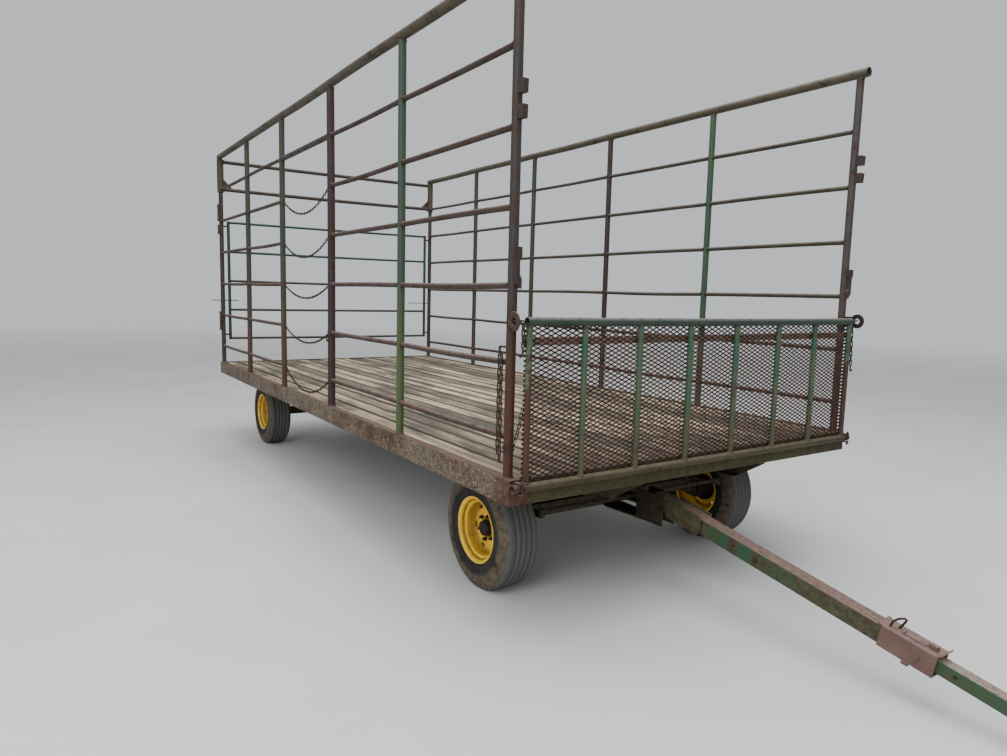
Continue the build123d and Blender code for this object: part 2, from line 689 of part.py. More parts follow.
# Tie rods from the yoke's pins to the steering arms' pins
rod_z = lug_high + fit_gap + eye_thickness / 2
for name, side in (("tie_rod_right", -1), ("tie_rod_left", 1)):
    inner = (arm_x, side * steer_arm_outward)
    outer = (arm_x, side * (kingpin_half + steer_arm_outward))
    with BuildPart() as tie_rod:
        bar((*inner, rod_z), (*outer, rod_z), rod_radius, rod_flats)
        for end in (inner, outer):
            bar((*end, lug_high + fit_gap), (*end, lug_high + fit_gap + eye_thickness),
                eye_radius, pipe_flats)
        for end in (inner, outer):
            bar((*end, lug_high), (*end, lug_high + 2 * eye_thickness),
                steer_pin_radius / cos(pi / pipe_flats) + fit_gap, pipe_flats,
                mode=Mode.SUBTRACT)
    save(tie_rod, name)

# Wheels: a tyre on a steel rim, and the hub that it bolts to
tyre_profile = (               # radius, and distance outward from the wheel's middle
    (rim_radius + fit_gap, -bead_width / 2), (shoulder_radius, -tyre_width / 2),
    (tyre_radius, -tread_width / 2), (tyre_radius, tread_width / 2),
    (shoulder_radius, tyre_width / 2), (rim_radius + fit_gap, bead_width / 2))
rim_profile = (
    (rim_radius - rim_wall, -bead_width / 2), (rim_radius, -bead_width / 2),
    (rim_radius, bead_width / 2), (rim_radius - rim_wall, bead_width / 2))
for end_name, x in (("front", front_axle), ("rear", rear_axle)):
    for side_name, side in (("right", -1), ("left", 1)):
        prefix = f"{end_name}_{side_name}"
        wheel = Plane(origin=(x, side * track_half, tyre_radius), x_dir=(1, 0, 0),
                      z_dir=(0, side, 0))
        inner, flange, face, middle, disc, cap = [
            (x, side * (track_half + out), tyre_radius)
            for out in (-hub_length, -hub_flange, -fit_gap, 0, disc_thickness, hub_cap_length)]
        with BuildPart() as tyre:
            turned(wheel, tyre_profile, wheel_flats)
        save(tyre, f"{prefix}_tyre")
        with BuildPart() as rim:
            turned(wheel, rim_profile, wheel_flats)
            bar(middle, disc, rim_radius - rim_wall, wheel_flats)
            bar(middle, disc, hub_cap_radius + fit_gap, pipe_flats, mode=Mode.SUBTRACT)
        save(rim, f"{prefix}_rim")
        with BuildPart() as hub:
            bar(inner, flange, hub_radius, pipe_flats)
            bar(flange, face, hub_flange_radius, pipe_flats)
            bar(face, cap, hub_cap_radius, pipe_flats)
            bar(inner, middle, spindle_radius + fit_gap, pipe_flats, mode=Mode.SUBTRACT)
        save(hub, f"{prefix}_hub")

# Tongue: a square tube on the yoke's pin, with side plates near its rear end
tongue_mouth = tongue_tube_length - tongue_back
with BuildPart() as tongue:
    with BuildSketch(tongue_plane.offset(-tongue_back)):
        Rectangle(tongue_tube, tongue_tube)
    extrude(amount=tongue_tube_length)
    with BuildSketch(tongue_plane.offset(cheek_start)):
        Rectangle(tongue_tube + 2 * cheek_thickness, 2 * cheek_half)
    extrude(amount=cheek_end - cheek_start)
    with BuildSketch(tongue_plane.offset(cheek_start)):
        for up in (-1, 1):
            with Locations((0, up * (tongue_tube + cheek_half) / 2)):
                Rectangle(tongue_tube, cheek_half)
    extrude(amount=cheek_end - cheek_start, mode=Mode.SUBTRACT)
    with BuildSketch(tongue_plane.offset(tongue_tube)):
        Rectangle(tongue_tube - 2 * tongue_wall, tongue_tube - 2 * tongue_wall)
    extrude(amount=tongue_tube_length, mode=Mode.SUBTRACT)
    bar((pivot[0], -tongue_tube, pivot[2]), (pivot[0], tongue_tube, pivot[2]),
        tongue_pin_radius + fit_gap, pipe_flats, mode=Mode.SUBTRACT)
save(tongue, "tongue_tube")

# Latch housing over the tube's mouth, slotted on top, with a lug at its front
latch_start = tongue_mouth - latch_length / 2
latch_half = tongue_tube / 2 + fit_gap + latch_wall
with BuildPart() as tongue_latch:
    with BuildSketch(tongue_plane.offset(latch_start)):
        Rectangle(2 * latch_half, 2 * latch_half)
        Rectangle(tongue_tube + 2 * fit_gap, tongue_tube + 2 * fit_gap, mode=Mode.SUBTRACT)
    extrude(amount=latch_length)
    with BuildSketch(tongue_plane.offset(latch_start + (latch_length - latch_slot_length) / 2)):
        with Locations((0, latch_half - latch_wall / 2)):
            Rectangle(latch_slot_width, latch_wall)
    extrude(amount=latch_slot_length, mode=Mode.SUBTRACT)
    with BuildSketch(tongue_plane.offset(latch_start + latch_length - latch_lug_length)):
        with Locations((0, latch_half + latch_lug_height / 2)):
            Rectangle(latch_lug_width, latch_lug_height)
    extrude(amount=latch_lug_length)
save(tongue_latch, "tongue_latch")

# Drawbar: slides in the tongue's tube on two guide blocks
bar_start = tongue_mouth - drawbar_overlap
guide_size = tongue_tube - 2 * tongue_wall - 2 * fit_gap
with BuildPart() as drawbar:
    with BuildSketch(tongue_plane.offset(bar_start)):
        Rectangle(drawbar_size, drawbar_size)
    extrude(amount=tongue_length - hitch_length - bar_start)
    for start in (bar_start, tongue_mouth - drawbar_mouth):
        with BuildSketch(tongue_plane.offset(start)):
            Rectangle(guide_size, guide_size)
        extrude(amount=guide_length)
save(drawbar, "drawbar")

# Hitch clevis: two plates above and below the drawbar's end, with the pin's hole
plate_half = drawbar_size / 2
plate_back = tongue_length - hitch_length - hitch_seat
with BuildPart() as hitch:
    for low in (-hitch_half_height, hitch_half_height - hitch_plate):
        with BuildSketch(Plane(origin=pivot, x_dir=tongue_dir, z_dir=hitch_axis).offset(low)):
            with BuildLine():
                Polyline((plate_back, -plate_half), (tongue_length - hitch_corner, -plate_half),
                         (tongue_length, hitch_corner - plate_half),
                         (tongue_length, plate_half - hitch_corner),
                         (tongue_length - hitch_corner, plate_half),
                         (plate_back, plate_half), close=True)
            make_face()
        extrude(amount=hitch_plate)
    with Locations(Plane(origin=hitch_hole, z_dir=hitch_axis)):
        Cylinder(hitch_pin_radius, 3 * hitch_half_height, mode=Mode.SUBTRACT)
save(hitch, "hitch_clevis")
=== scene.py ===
"""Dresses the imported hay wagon: worn pipe racks, a plank deck, mesh gate, wheels and tongue.

Metres, in the part's own frame: +X forward, +Y to the wagon's left, +Z up from the ground.
"""
from math import asin, atan2, cos, hypot, pi, radians, sin, tau
from random import Random

import bpy
from mathutils import Matrix, Vector


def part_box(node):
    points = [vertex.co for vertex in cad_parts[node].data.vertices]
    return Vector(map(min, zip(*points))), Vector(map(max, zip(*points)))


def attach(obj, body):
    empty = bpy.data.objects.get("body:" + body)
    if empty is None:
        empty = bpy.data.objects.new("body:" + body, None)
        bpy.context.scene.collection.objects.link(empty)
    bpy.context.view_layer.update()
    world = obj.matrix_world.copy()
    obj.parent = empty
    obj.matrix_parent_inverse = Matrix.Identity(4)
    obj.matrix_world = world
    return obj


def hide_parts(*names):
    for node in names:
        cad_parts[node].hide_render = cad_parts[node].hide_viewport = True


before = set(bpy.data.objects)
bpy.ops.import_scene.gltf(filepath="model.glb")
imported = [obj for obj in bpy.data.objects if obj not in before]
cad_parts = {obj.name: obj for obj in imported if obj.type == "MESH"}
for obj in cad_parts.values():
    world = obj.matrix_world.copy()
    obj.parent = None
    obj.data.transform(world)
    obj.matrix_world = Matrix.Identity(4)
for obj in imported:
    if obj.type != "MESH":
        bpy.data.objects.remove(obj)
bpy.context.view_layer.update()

# Camera, as measured from the photograph; azimuth is turned from +X towards +Y
camera_place = (4.597, -3.197, 1.750)
camera_azimuth = radians(146.36)
camera_pitch = radians(-6.72)
camera_roll = radians(1.40)
camera_lens = 25.35             # on a sensor 36 mm wide

# Sizes that the frame's boxes don't give
post_inset = 0.060              # from the deck's end to the last post's centre
post_edge = 0.030               # and from its side
post_radius = 0.024
door_post_radius = 0.028
sleeve_radius = 0.036           # upper end of the rear posts
sleeve_skirt = 0.035
lug_heights = (1.676, 1.786)    # above the deck, as all heights of fittings here
strap_spans = ((0.374, 0.595), (1.475, 1.580), (1.620, 1.810))
catch_outline = (
    (-0.0235, 1.084), (-0.0235, 1.040), (-0.013, 1.024), (-0.013, 0.914), (0.0, 0.914),
    (0.006, 0.894), (0.024, 0.894), (0.024, 0.940), (0.013, 0.958), (0.013, 1.024),
    (0.0235, 1.040), (0.0235, 1.084))
top_rail_radius = 0.030
rail_radius = 0.0155
door_rail_radius = 0.021
rail_pitch = 0.3568
rail_count = 6
bay_count = 5
door_bay = 2
chain_sags = (0.150, 0.140, 0.110, 0.115, 0.160)
post_chain = (0.034, 0.0036)    # pitch and the wire's radius
latch_chain = (0.030, 0.0038)
wire_gap = 0.003                # from a post to the middle of the wire round it
wire_radius = 0.0028
plank_count = 19
plank_gap = 0.006
rear_rail_radius = 0.021
rear_gate_bars = 5
rear_stile_radius = 0.017
rear_bar_radius = 0.014
gate_bar_count = 8
gate_pipe_radius = 0.021
gate_bar_radius = 0.016
hinge_pipe_radius = 0.022
# How far the photograph shows the gate's bars from even places
gate_bar_shifts = (0, -0.037, -0.040, -0.034, -0.020, -0.004, -0.006, 0)
mesh_long = 0.051               # a diamond of the expanded metal, along and up
mesh_short = 0.0234
mesh_strand = (0.0016, 0.0032)  # half its thickness and half its width
tyre_radius = 0.356
tyre_half = 0.121
rib_width = 0.032
groove_depth = 0.006
rib_starts = (-0.0885, -0.053, -0.0175, 0.018, 0.0535)
rim_radius = 0.193
rim_half = 0.1015
hand_holes = 6
wheel_steps = 96                # round the rim and the tyre
hand_hole_steps = 4             # of those
wheel_bolts = 6
bolt_circle = 0.076
ear_edge = 0.045                # yoke's ears above and ahead of the tongue's pin
tongue_length = 2.600           # pin to the drawbar's tip
hitch_half = 0.0403
tongue_half = 0.045
latch_start = 1.415             # counted from the pin, as all places on the tongue
latch_end = 1.665
clearance = 0.0003              # between a skin and the solid that it lies on

# Places from the frame
deck_low, deck_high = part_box("side_channels")
deck_top = deck_high.z
front_face = deck_high.x
post_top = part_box("top_rails")[0].z
top_rail_z = post_top + top_rail_radius
post_span = deck_high.x - deck_low.x - 2 * post_inset
post_x = [deck_low.x + post_inset + post_span * i / bay_count for i in range(bay_count + 1)]
post_y = deck_high.y - post_edge
plank_low, plank_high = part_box("deck_planks")
plank_pitch = (plank_high.y - plank_low.y + plank_gap) / plank_count
low_rail_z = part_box("left_rails")[0].z + rail_radius
rail_z = [low_rail_z + rail_pitch * i for i in range(rail_count)]
gate_low, gate_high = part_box("drop_gate")
gate_half = gate_high.y
hinge_x = (gate_low.x + gate_high.x) / 2
hinge_z = gate_low.z + hinge_pipe_radius
gate_top_z = gate_high.z - gate_pipe_radius
yoke_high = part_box("steering_yoke")[1]
pivot = Vector((yoke_high.x - ear_edge, 0, yoke_high.z - ear_edge))
slope = asin(pivot.z / hypot(tongue_length, hitch_half)) - atan2(hitch_half, tongue_length)
along_tongue = Vector((cos(slope), 0, -sin(slope)))
tongue_plane = Matrix.Translation(pivot) @ Matrix.Rotation(slope, 4, "Y")


def colour(shown):
    """A linear colour from the red, green and blue, 0 to 255, that a screen shows."""
    return tuple((v / 255 / 12.92) if v <= 10 else ((v / 255 + 0.055) / 1.055) ** 2.4
                 for v in shown) + (1.0,)


class Look:
    """A material in the making: its nodes, the object's coordinates and the tint so far."""

    def __init__(self, name, roughness=0.7):
        self.material = bpy.data.materials.new(name)
        self.material.use_nodes = True
        self.tree = self.material.node_tree
        self.shader = self.tree.nodes["Principled BSDF"].inputs
        self.shader["Roughness"].default_value = roughness
        self.shader["Specular IOR Level"].default_value = 0.25
        self.place = self.node("ShaderNodeTexCoord")["Object"]
        self.tint = None

    def wire(self, source, socket):
        """Set a socket from another node's output, a screen's colour or a plain value."""
        if isinstance(source, bpy.types.NodeSocket):
            self.tree.links.new(source, socket)
        else:
            socket.default_value = colour(source) if socket.type == "RGBA" else source

    def node(self, kind, sources=(), **settings):
        """The outputs of a new node, with its settings made and its sockets wired."""
        node = self.tree.nodes.new(kind)
        for setting, value in settings.items():
            setattr(node, setting, value)
        for socket, source in dict(sources).items():
            self.wire(source, node.inputs[socket])
        return node.outputs

    def vector(self, operation, first, second=(0, 0, 0)):
        return self.node("ShaderNodeVectorMath", {0: first, 1: second}, operation=operation)

    def stretched(self, scale):
        """The place, scaled differently along each axis."""
        return self.vector("MULTIPLY", self.place, scale)[0]

    def dot(self, way, start=(0, 0, 0)):
        """How far the place lies from start along a direction."""
        along = self.vector("DOT_PRODUCT", self.place, way)["Value"]
        return self.plus(along, -Vector(way).dot(Vector(start)))

    def radius(self, centre):
        """Distance from the wheel's axle, which runs along y."""
        shift = self.vector("SUBTRACT", self.place, centre)[0]
        return self.vector("LENGTH", self.vector("MULTIPLY", shift, (1, 0, 1))[0])["Value"]

    def noise(self, scale, detail=4.0, roughness=0.6, place=None):
        return self.node("ShaderNodeTexNoise", {
            "Vector": place or self.place, "Scale": scale, "Detail": detail,
            "Roughness": roughness})["Fac"]

    def mask(self, value, low, high):
        """0 below low and 1 above high; the other way round where low is the larger."""
        start, end = (0.0, 1.0) if low < high else (1.0, 0.0)
        return self.node("ShaderNodeMapRange", {
            "Value": value, "From Min": min(low, high), "From Max": max(low, high),
            "To Min": start, "To Max": end}, interpolation_type="SMOOTHSTEP")["Result"]

    def patches(self, scale, detail, low, high, roughness=0.6):
        """A mask of the places where a noise is high."""
        return self.mask(self.noise(scale, detail, roughness), low, high)

    def math(self, operation, first, second):
        return self.node("ShaderNodeMath", {0: first, 1: second}, operation=operation)[0]

    def times(self, first, second):
        return self.math("MULTIPLY", first, second)

    def plus(self, first, second):
        return self.math("ADD", first, second)

    def mix(self, share, first, second):
        """The first colour where share is 0, and the second where it is 1."""
        return self.node("ShaderNodeMix", {0: share, 6: first, 7: second}, data_type="RGBA")[2]

    def cover(self, share, paint, strength=None):
        """Paint over the tint so far, where share is 1; with a strength the tint shows through."""
        self.tint = self.mix(self.times(share, strength) if strength else share, self.tint, paint)

    def axis(self, index, source=None):
        """One coordinate of the place, or of another vector."""
        return self.node("ShaderNodeSeparateXYZ", {0: source or self.place})[index]

    def upward(self, low, high):
        """A mask of the faces that look up."""
        return self.mask(self.axis(2, self.node("ShaderNodeNewGeometry")["Normal"]), low, high)

    def island(self):
        """A value of its own for each separate piece of a joined mesh."""
        return self.node("ShaderNodeNewGeometry")["Random Per Island"]

    def done(self, height=None, depth=None, roughness=None):
        """Wire the tint, bump and roughness to the shader and give the material."""
        self.wire(self.tint, self.shader["Base Color"])
        if roughness:
            self.wire(roughness, self.shader["Roughness"])
        if height:
            bump = self.node("ShaderNodeBump", {"Strength": 1.0, "Distance": depth,
                                                "Height": height})
            self.wire(bump["Normal"], self.shader["Normal"])
        return self.material


rust_dark = (46, 34, 30)
rust_mid = (66, 47, 40)
rust_light = (92, 69, 58)
dust = (150, 142, 130)
pink_dust = (128, 104, 94)


def worn_paint(name, paint, faded, rust_share, dust_share, foot=None, foot_z=0.0,
               foot_blend=0.35, settles=dust):
    """Old paint, faded, rusted through in patches and dusty on top; foot is its lower colour."""
    look = Look(name)
    fine = look.noise(210, 3)
    patch = look.noise(9, 5, 0.68)
    speck = look.noise(60, 4, 0.7)
    rust = look.mix(look.mask(fine, 0.35, 0.65), rust_dark, rust_mid)
    rust = look.mix(look.mask(speck, 0.56, 0.70), rust, rust_light)
    look.tint = look.mix(look.patches(5, 3, 0.35, 0.65), paint, faded)
    if foot:
        height = look.plus(look.axis(2), look.times(look.noise(12, 4), 0.5))
        border = foot_z + 0.25
        look.cover(look.mask(height, border + foot_blend, border - foot_blend), foot)
    broken = look.plus(look.times(patch, 0.65), look.times(speck, 0.35))
    edge = 0.66 - 0.32 * rust_share
    bare = look.mask(broken, edge - 0.05, edge + 0.06)
    look.cover(bare, rust)
    settled = look.times(look.upward(0.1, 0.95), look.patches(30, 4, 0.2, 0.6))
    look.cover(settled, settles, dust_share)
    return look.done(look.plus(look.times(bare, -0.5), fine), 0.0006,
                     look.plus(look.times(look.mask(bare, -0.6, 1.6), 0.45), 0.45))


def lichen_steel(name, base, shade, lichen, lichen_share, flange, clear_from):
    """Rusty channel steel, crusted with lichen but for one end; its top is bare."""
    look = Look(name, 0.85)
    fine = look.noise(150, 3)
    look.tint = look.mix(look.patches(14, 5, 0.35, 0.65), base, shade)
    look.cover(look.mask(fine, 0.5, 0.75), rust_light)
    spread = look.plus(look.times(look.noise(3.0, 4), 0.55), look.times(look.noise(38, 5), 0.45))
    spots = look.times(look.patches(190, 4, 0.49, 0.59, 0.75), look.mask(
        spread, 0.58 - 0.2 * lichen_share, 0.72 - 0.2 * lichen_share))
    way, limit = clear_from
    corner = look.plus(look.dot(way), look.times(look.noise(14, 4), 0.16))
    keep = look.mask(corner, limit + 0.12, limit + 0.02)
    raw = look.mix(look.patches(26, 5, 0.40, 0.62, 0.7), (84, 59, 47), (56, 42, 35))
    look.cover(look.mask(keep, 0.9, 0.2), raw)
    spots = look.times(look.times(spots, keep), 0.85)
    look.cover(spots, lichen)
    top = look.mix(look.patches(40, 5, 0.4, 0.65), flange, rust_light)
    look.cover(look.upward(0.5, 0.8), top)
    return look.done(look.plus(look.times(fine, 0.6), spots), 0.0012)


def plank_wood():
    """Weathered boards: straw-coloured in the middle of the deck, grey and damp in bands, with
    painted shade along the seams.
    """
    look = Look("plank_wood", 0.88)
    boards = look.times(look.plus(look.axis(1), -plank_low.y), 1 / plank_pitch)
    grain = look.noise(1.0, 6, 0.7, look.stretched((2.2, 130.0, 40.0)))
    streak = look.noise(1.0, 4, 0.6, look.stretched((0.8, 26.0, 12.0)))
    damp = look.noise(1.0, 5, 0.65, look.stretched((1.2, 3.4, 1.0)))
    look.tint = look.mix(look.mask(streak, 0.36, 0.62), (236, 216, 182), (164, 146, 120))
    look.cover(look.island(), (122, 110, 94), 0.50)
    look.cover(look.mask(look.island(), 0.62, 0.80), (92, 85, 74), 0.6)
    ahead = look.plus(look.axis(0), look.times(look.noise(2.2, 4), 0.9))
    look.cover(look.mask(ahead, front_face - 0.7, front_face + 0.3), (88, 74, 62), 0.6)
    # Painted shade: dark bands along the seams between the boards, where the gaps lie in shadow
    from_seam = look.math("PINGPONG", boards, 0.5)
    seam_shade = look.plus(from_seam, look.times(look.plus(streak, -0.5), 0.25))
    look.cover(look.mask(seam_shade, 0.19, 0.05), (50, 45, 39), 0.9)
    look.cover(look.mask(grain, 0.46, 0.62), (70, 62, 53), 0.85)
    wet = look.mask(look.plus(damp, look.times(grain, 0.35)), 0.60, 0.80)
    look.cover(wet, (66, 64, 58), 0.8)
    return look.done(look.plus(grain, look.times(streak, 0.6)), 0.0035)


def tyre_rubber(name, centre):
    """Black by the rim, a brown band of dirt on the shoulder and a worn grey tread."""
    look = Look(name, 0.82)
    out = look.plus(look.radius(centre), look.times(look.noise(24, 4), 0.030))
    grit = look.noise(230, 3)
    smear = look.noise(11, 5, 0.7)
    brown = look.mix(look.patches(30, 5, 0.35, 0.65), (71, 64, 54), (100, 88, 73))
    tread = look.mix(look.mask(grit, 0.35, 0.7), (74, 76, 74), (94, 94, 90))
    look.tint = look.mix(look.mask(smear, 0.42, 0.62), (33, 33, 35), (46, 44, 42))
    look.cover(look.times(look.mask(out, 0.262, 0.300), look.mask(smear, 0.30, 0.44)), brown)
    look.cover(look.mask(out, 0.352, 0.364), tread)
    return look.done(grit, 0.0005)


def rim_paint(name, centre):
    """Yellow wheel paint with patches of grime, painted shade in the dish's corners, and chips of
    rust.
    """
    look = Look(name, 0.5)
    out = look.plus(look.radius(centre), look.times(look.noise(40, 4), 0.006))
    # Painted shade: darker rings where the dish steps and turns, and round the hub
    corners = look.plus(look.times(look.mask(out, 0.186, 0.180), look.mask(out, 0.172, 0.178)),
                        look.times(look.mask(out, 0.168, 0.158), look.mask(out, 0.120, 0.150)))
    corners = look.plus(corners, look.mask(out, 0.076, 0.062))
    grime = look.patches(17, 6, 0.48, 0.72, 0.7)
    chip = look.patches(52, 4, 0.655, 0.70, 0.65)
    look.tint = look.mix(look.patches(7, 3, 0.3, 0.7), (246, 200, 56), (216, 168, 40))
    look.cover(grime, (128, 94, 30), 0.55)
    # painted shade in the dish's corners and round the hub
    look.cover(corners, (84, 62, 22), 0.75)
    look.cover(chip, rust_dark)
    return look.done(look.plus(look.times(chip, -0.6), look.times(look.noise(170, 3), 0.3)),
                     0.0006, look.plus(look.times(grime, 0.3), 0.45))


def tongue_paint(name, green_spans, top_low, top_high):
    """Olive grime and rust on the tongue's sides, with green paint left in spans along it."""
    look = Look(name, 0.8)
    fine = look.noise(190, 3)
    rough = look.noise(30, 5)
    look.tint = look.mix(look.mask(rough, 0.35, 0.65), (78, 75, 54), (58, 57, 42))
    rust = look.mix(look.mask(fine, 0.35, 0.65), rust_mid, (84, 60, 46))
    look.cover(look.patches(11, 5, 0.50, 0.64), rust)
    far = look.plus(look.dot(along_tongue, pivot),
                    look.times(look.plus(look.noise(22, 4), -0.5), 0.16))
    for start, end, share in green_spans:
        span = look.times(look.mask(far, start - 0.02, start + 0.02),
                          look.mask(far, end + 0.02, end - 0.02))
        kept = look.patches(26, 5, 0.64 - 0.34 * share, 0.68 - 0.34 * share, 0.7)
        green = look.mix(look.patches(15, 5, 0.40, 0.66), (50, 79, 59), (66, 72, 50))
        look.cover(look.times(span, kept), green)
    top = look.mix(look.patches(60, 5, 0.35, 0.65), top_low, top_high)
    look.cover(look.upward(0.55, 0.85), top)
    return look.done(look.plus(fine, look.times(rough, 0.5)), 0.0007)


def plain_steel(name, dark, light, roughness, scale):
    """Bare or greasy steel in two close tones."""
    look = Look(name, roughness)
    look.tint = look.mix(look.patches(scale, 5, 0.35, 0.65, 0.7), dark, light)
    return look.done(look.noise(200, 3), 0.0005)


dark_brown = worn_paint("pipe_dark_brown", (54, 46, 42), (62, 54, 47), 0.40, 0.3)
purple_brown = worn_paint("pipe_purple_brown", (50, 42, 41), (56, 46, 42), 0.45, 0.25)
olive_brown = worn_paint("pipe_olive_brown", (64, 60, 47), (72, 65, 52), 0.35, 0.35)
green_brown = worn_paint("pipe_green_brown", (50, 58, 46), (60, 62, 46), 0.25, 0.3, (72, 54, 43),
                         1.55)
front_post_paint = worn_paint("pipe_front_post", (53, 50, 47), (58, 47, 41), 0.35, 0.3,
                              (68, 40, 28), 1.55)
light_green = worn_paint("pipe_light_green", (53, 68, 58), (58, 71, 53), 0.10, 0.3, (70, 82, 50),
                         1.60, 0.45)
far_post_paint = worn_paint("pipe_far_post", (60, 58, 58), (70, 60, 55), 0.35, 0.3, (76, 56, 48),
                            1.60)
grey_brown = worn_paint("pipe_grey_brown", (68, 64, 50), (76, 71, 56), 0.30, 0.40)
leaf_green = worn_paint("pipe_leaf_green", (50, 74, 57), (60, 78, 57), 0.15, 0.3, (64, 70, 48),
                        1.40)
gate_bar_green = worn_paint("gate_bar_green", (48, 82, 63), (74, 84, 64), 0.20, 0.3, (72, 72, 52),
                            1.12, 0.20)
near_stile = worn_paint("gate_near_stile", (86, 100, 76), (64, 82, 60), 0.25, 0.3, (68, 45, 35),
                        1.38, 0.03)
far_stile = worn_paint("gate_far_stile", (58, 86, 66), (74, 90, 70), 0.15, 0.3, (70, 50, 40), 1.34,
                       0.03)
gate_top_green = worn_paint("gate_top_green", (38, 57, 48), (50, 63, 54), 0.12, 0.95,
                            settles=(112, 103, 98))
hinge_olive = worn_paint("gate_hinge_olive", (56, 50, 30), (70, 60, 42), 0.30, 0.65,
                         settles=(116, 108, 88))
rail_brown = worn_paint("rail_brown", (56, 44, 41), (62, 50, 44), 0.45, 0.65, settles=pink_dust)
far_rail = worn_paint("rail_far", (58, 55, 48), (64, 59, 48), 0.35, 0.45)
deep_green = worn_paint("pipe_deep_green", (26, 62, 50), (36, 66, 54), 0.14, 0.3)
stile_green = worn_paint("rear_stile_green", (28, 60, 50), (40, 64, 54), 0.18, 0.3, (52, 40, 36),
                         1.27, 0.08)
rusty_strap = worn_paint("strap_rust", rust_mid, (84, 64, 52), 0.80, 0.6, settles=pink_dust)
corner_rust = worn_paint("corner_rust", (76, 50, 40), (88, 60, 48), 0.55, 0.5, settles=pink_dust)
latch_eye_rust = worn_paint("latch_eye_rust", (66, 46, 42), (74, 54, 48), 0.5, 0.4)
latch_rust = worn_paint("latch_rust", (96, 74, 67), (110, 88, 80), 0.05, 0.8,
                        settles=(132, 110, 102))
gate_strap_rust = worn_paint("gate_strap_rust", (112, 92, 80), (124, 104, 92), 0.1, 0.6)
rusty_mesh = plain_steel("mesh_rust", (56, 41, 35), (82, 61, 52), 0.85, 12)
dark_chain = plain_steel("chain_iron", (40, 35, 33), (62, 50, 44), 0.7, 60)
rusty_chain = plain_steel("chain_rust", (46, 33, 28), (70, 51, 42), 0.8, 60)
# Black iron for nuts and bolt ends; its dark discs on the tongue and drawbar are painted shade in
# holes
black_iron_and_hole_shade = plain_steel("black_iron_and_hole_shade", (28, 26, 25), (48, 42, 38), 0.7, 60)
gear_iron = plain_steel("gear_iron", (48, 42, 34), (78, 70, 54), 0.8, 18)
sill_olive = plain_steel("sill_olive", (56, 53, 34), (78, 71, 49), 0.85, 14)
yoke_iron = plain_steel("yoke_iron", (42, 37, 28), (62, 55, 41), 0.8, 18)
bolt_iron = plain_steel("bolt_iron", (52, 44, 39), (92, 82, 72), 0.6, 60)
rod_steel = plain_steel("rod_steel", (46, 42, 37), (68, 62, 54), 0.7, 30)
hub_iron = plain_steel("hub_iron", (24, 23, 20), (44, 38, 30), 0.65, 40)
weld_grey = plain_steel("weld_grey", (92, 84, 76), (66, 54, 48), 0.7, 90)
side_steel = lichen_steel("side_steel", (84, 64, 47), (60, 47, 36), (158, 154, 136), 0.85,
                          (108, 84, 74), ((1, 0, 0), front_face - 0.09))
front_steel = lichen_steel("front_steel", (66, 66, 42), (54, 52, 36), (96, 104, 60), 0.6,
                           (92, 86, 64), ((0, -1, 0), post_y - 0.10))
planks = plank_wood()
tongue_green = tongue_paint(
    "tongue_green", ((0.41, 0.55, 1.1), (0.60, 0.70, 1.0), (0.76, 0.96, 0.50), (0.96, 1.40, 0.20)),
    (98, 80, 71), (124, 105, 95))
drawbar_green = tongue_paint("drawbar_green", ((1.60, 2.60, 0.85),), (116, 104, 91),
                             (146, 134, 122))


def add_object(name, data):
    """An object in the scene's own collection."""
    added = bpy.data.objects.new(name, data)
    bpy.context.scene.collection.objects.link(added)
    return added


def soften(piece, width):
    """Round the piece's edges a little."""
    edges = piece.modifiers.new("edges", "BEVEL")
    edges.width = width
    edges.segments = 2
    edges.limit_method = "ANGLE"


def square_to(axis):
    """A direction at right angles to the axis."""
    other = Vector((0, 0, 1)) if abs(axis.z) < 0.9 else Vector((1, 0, 0))
    return axis.cross(other).normalized()


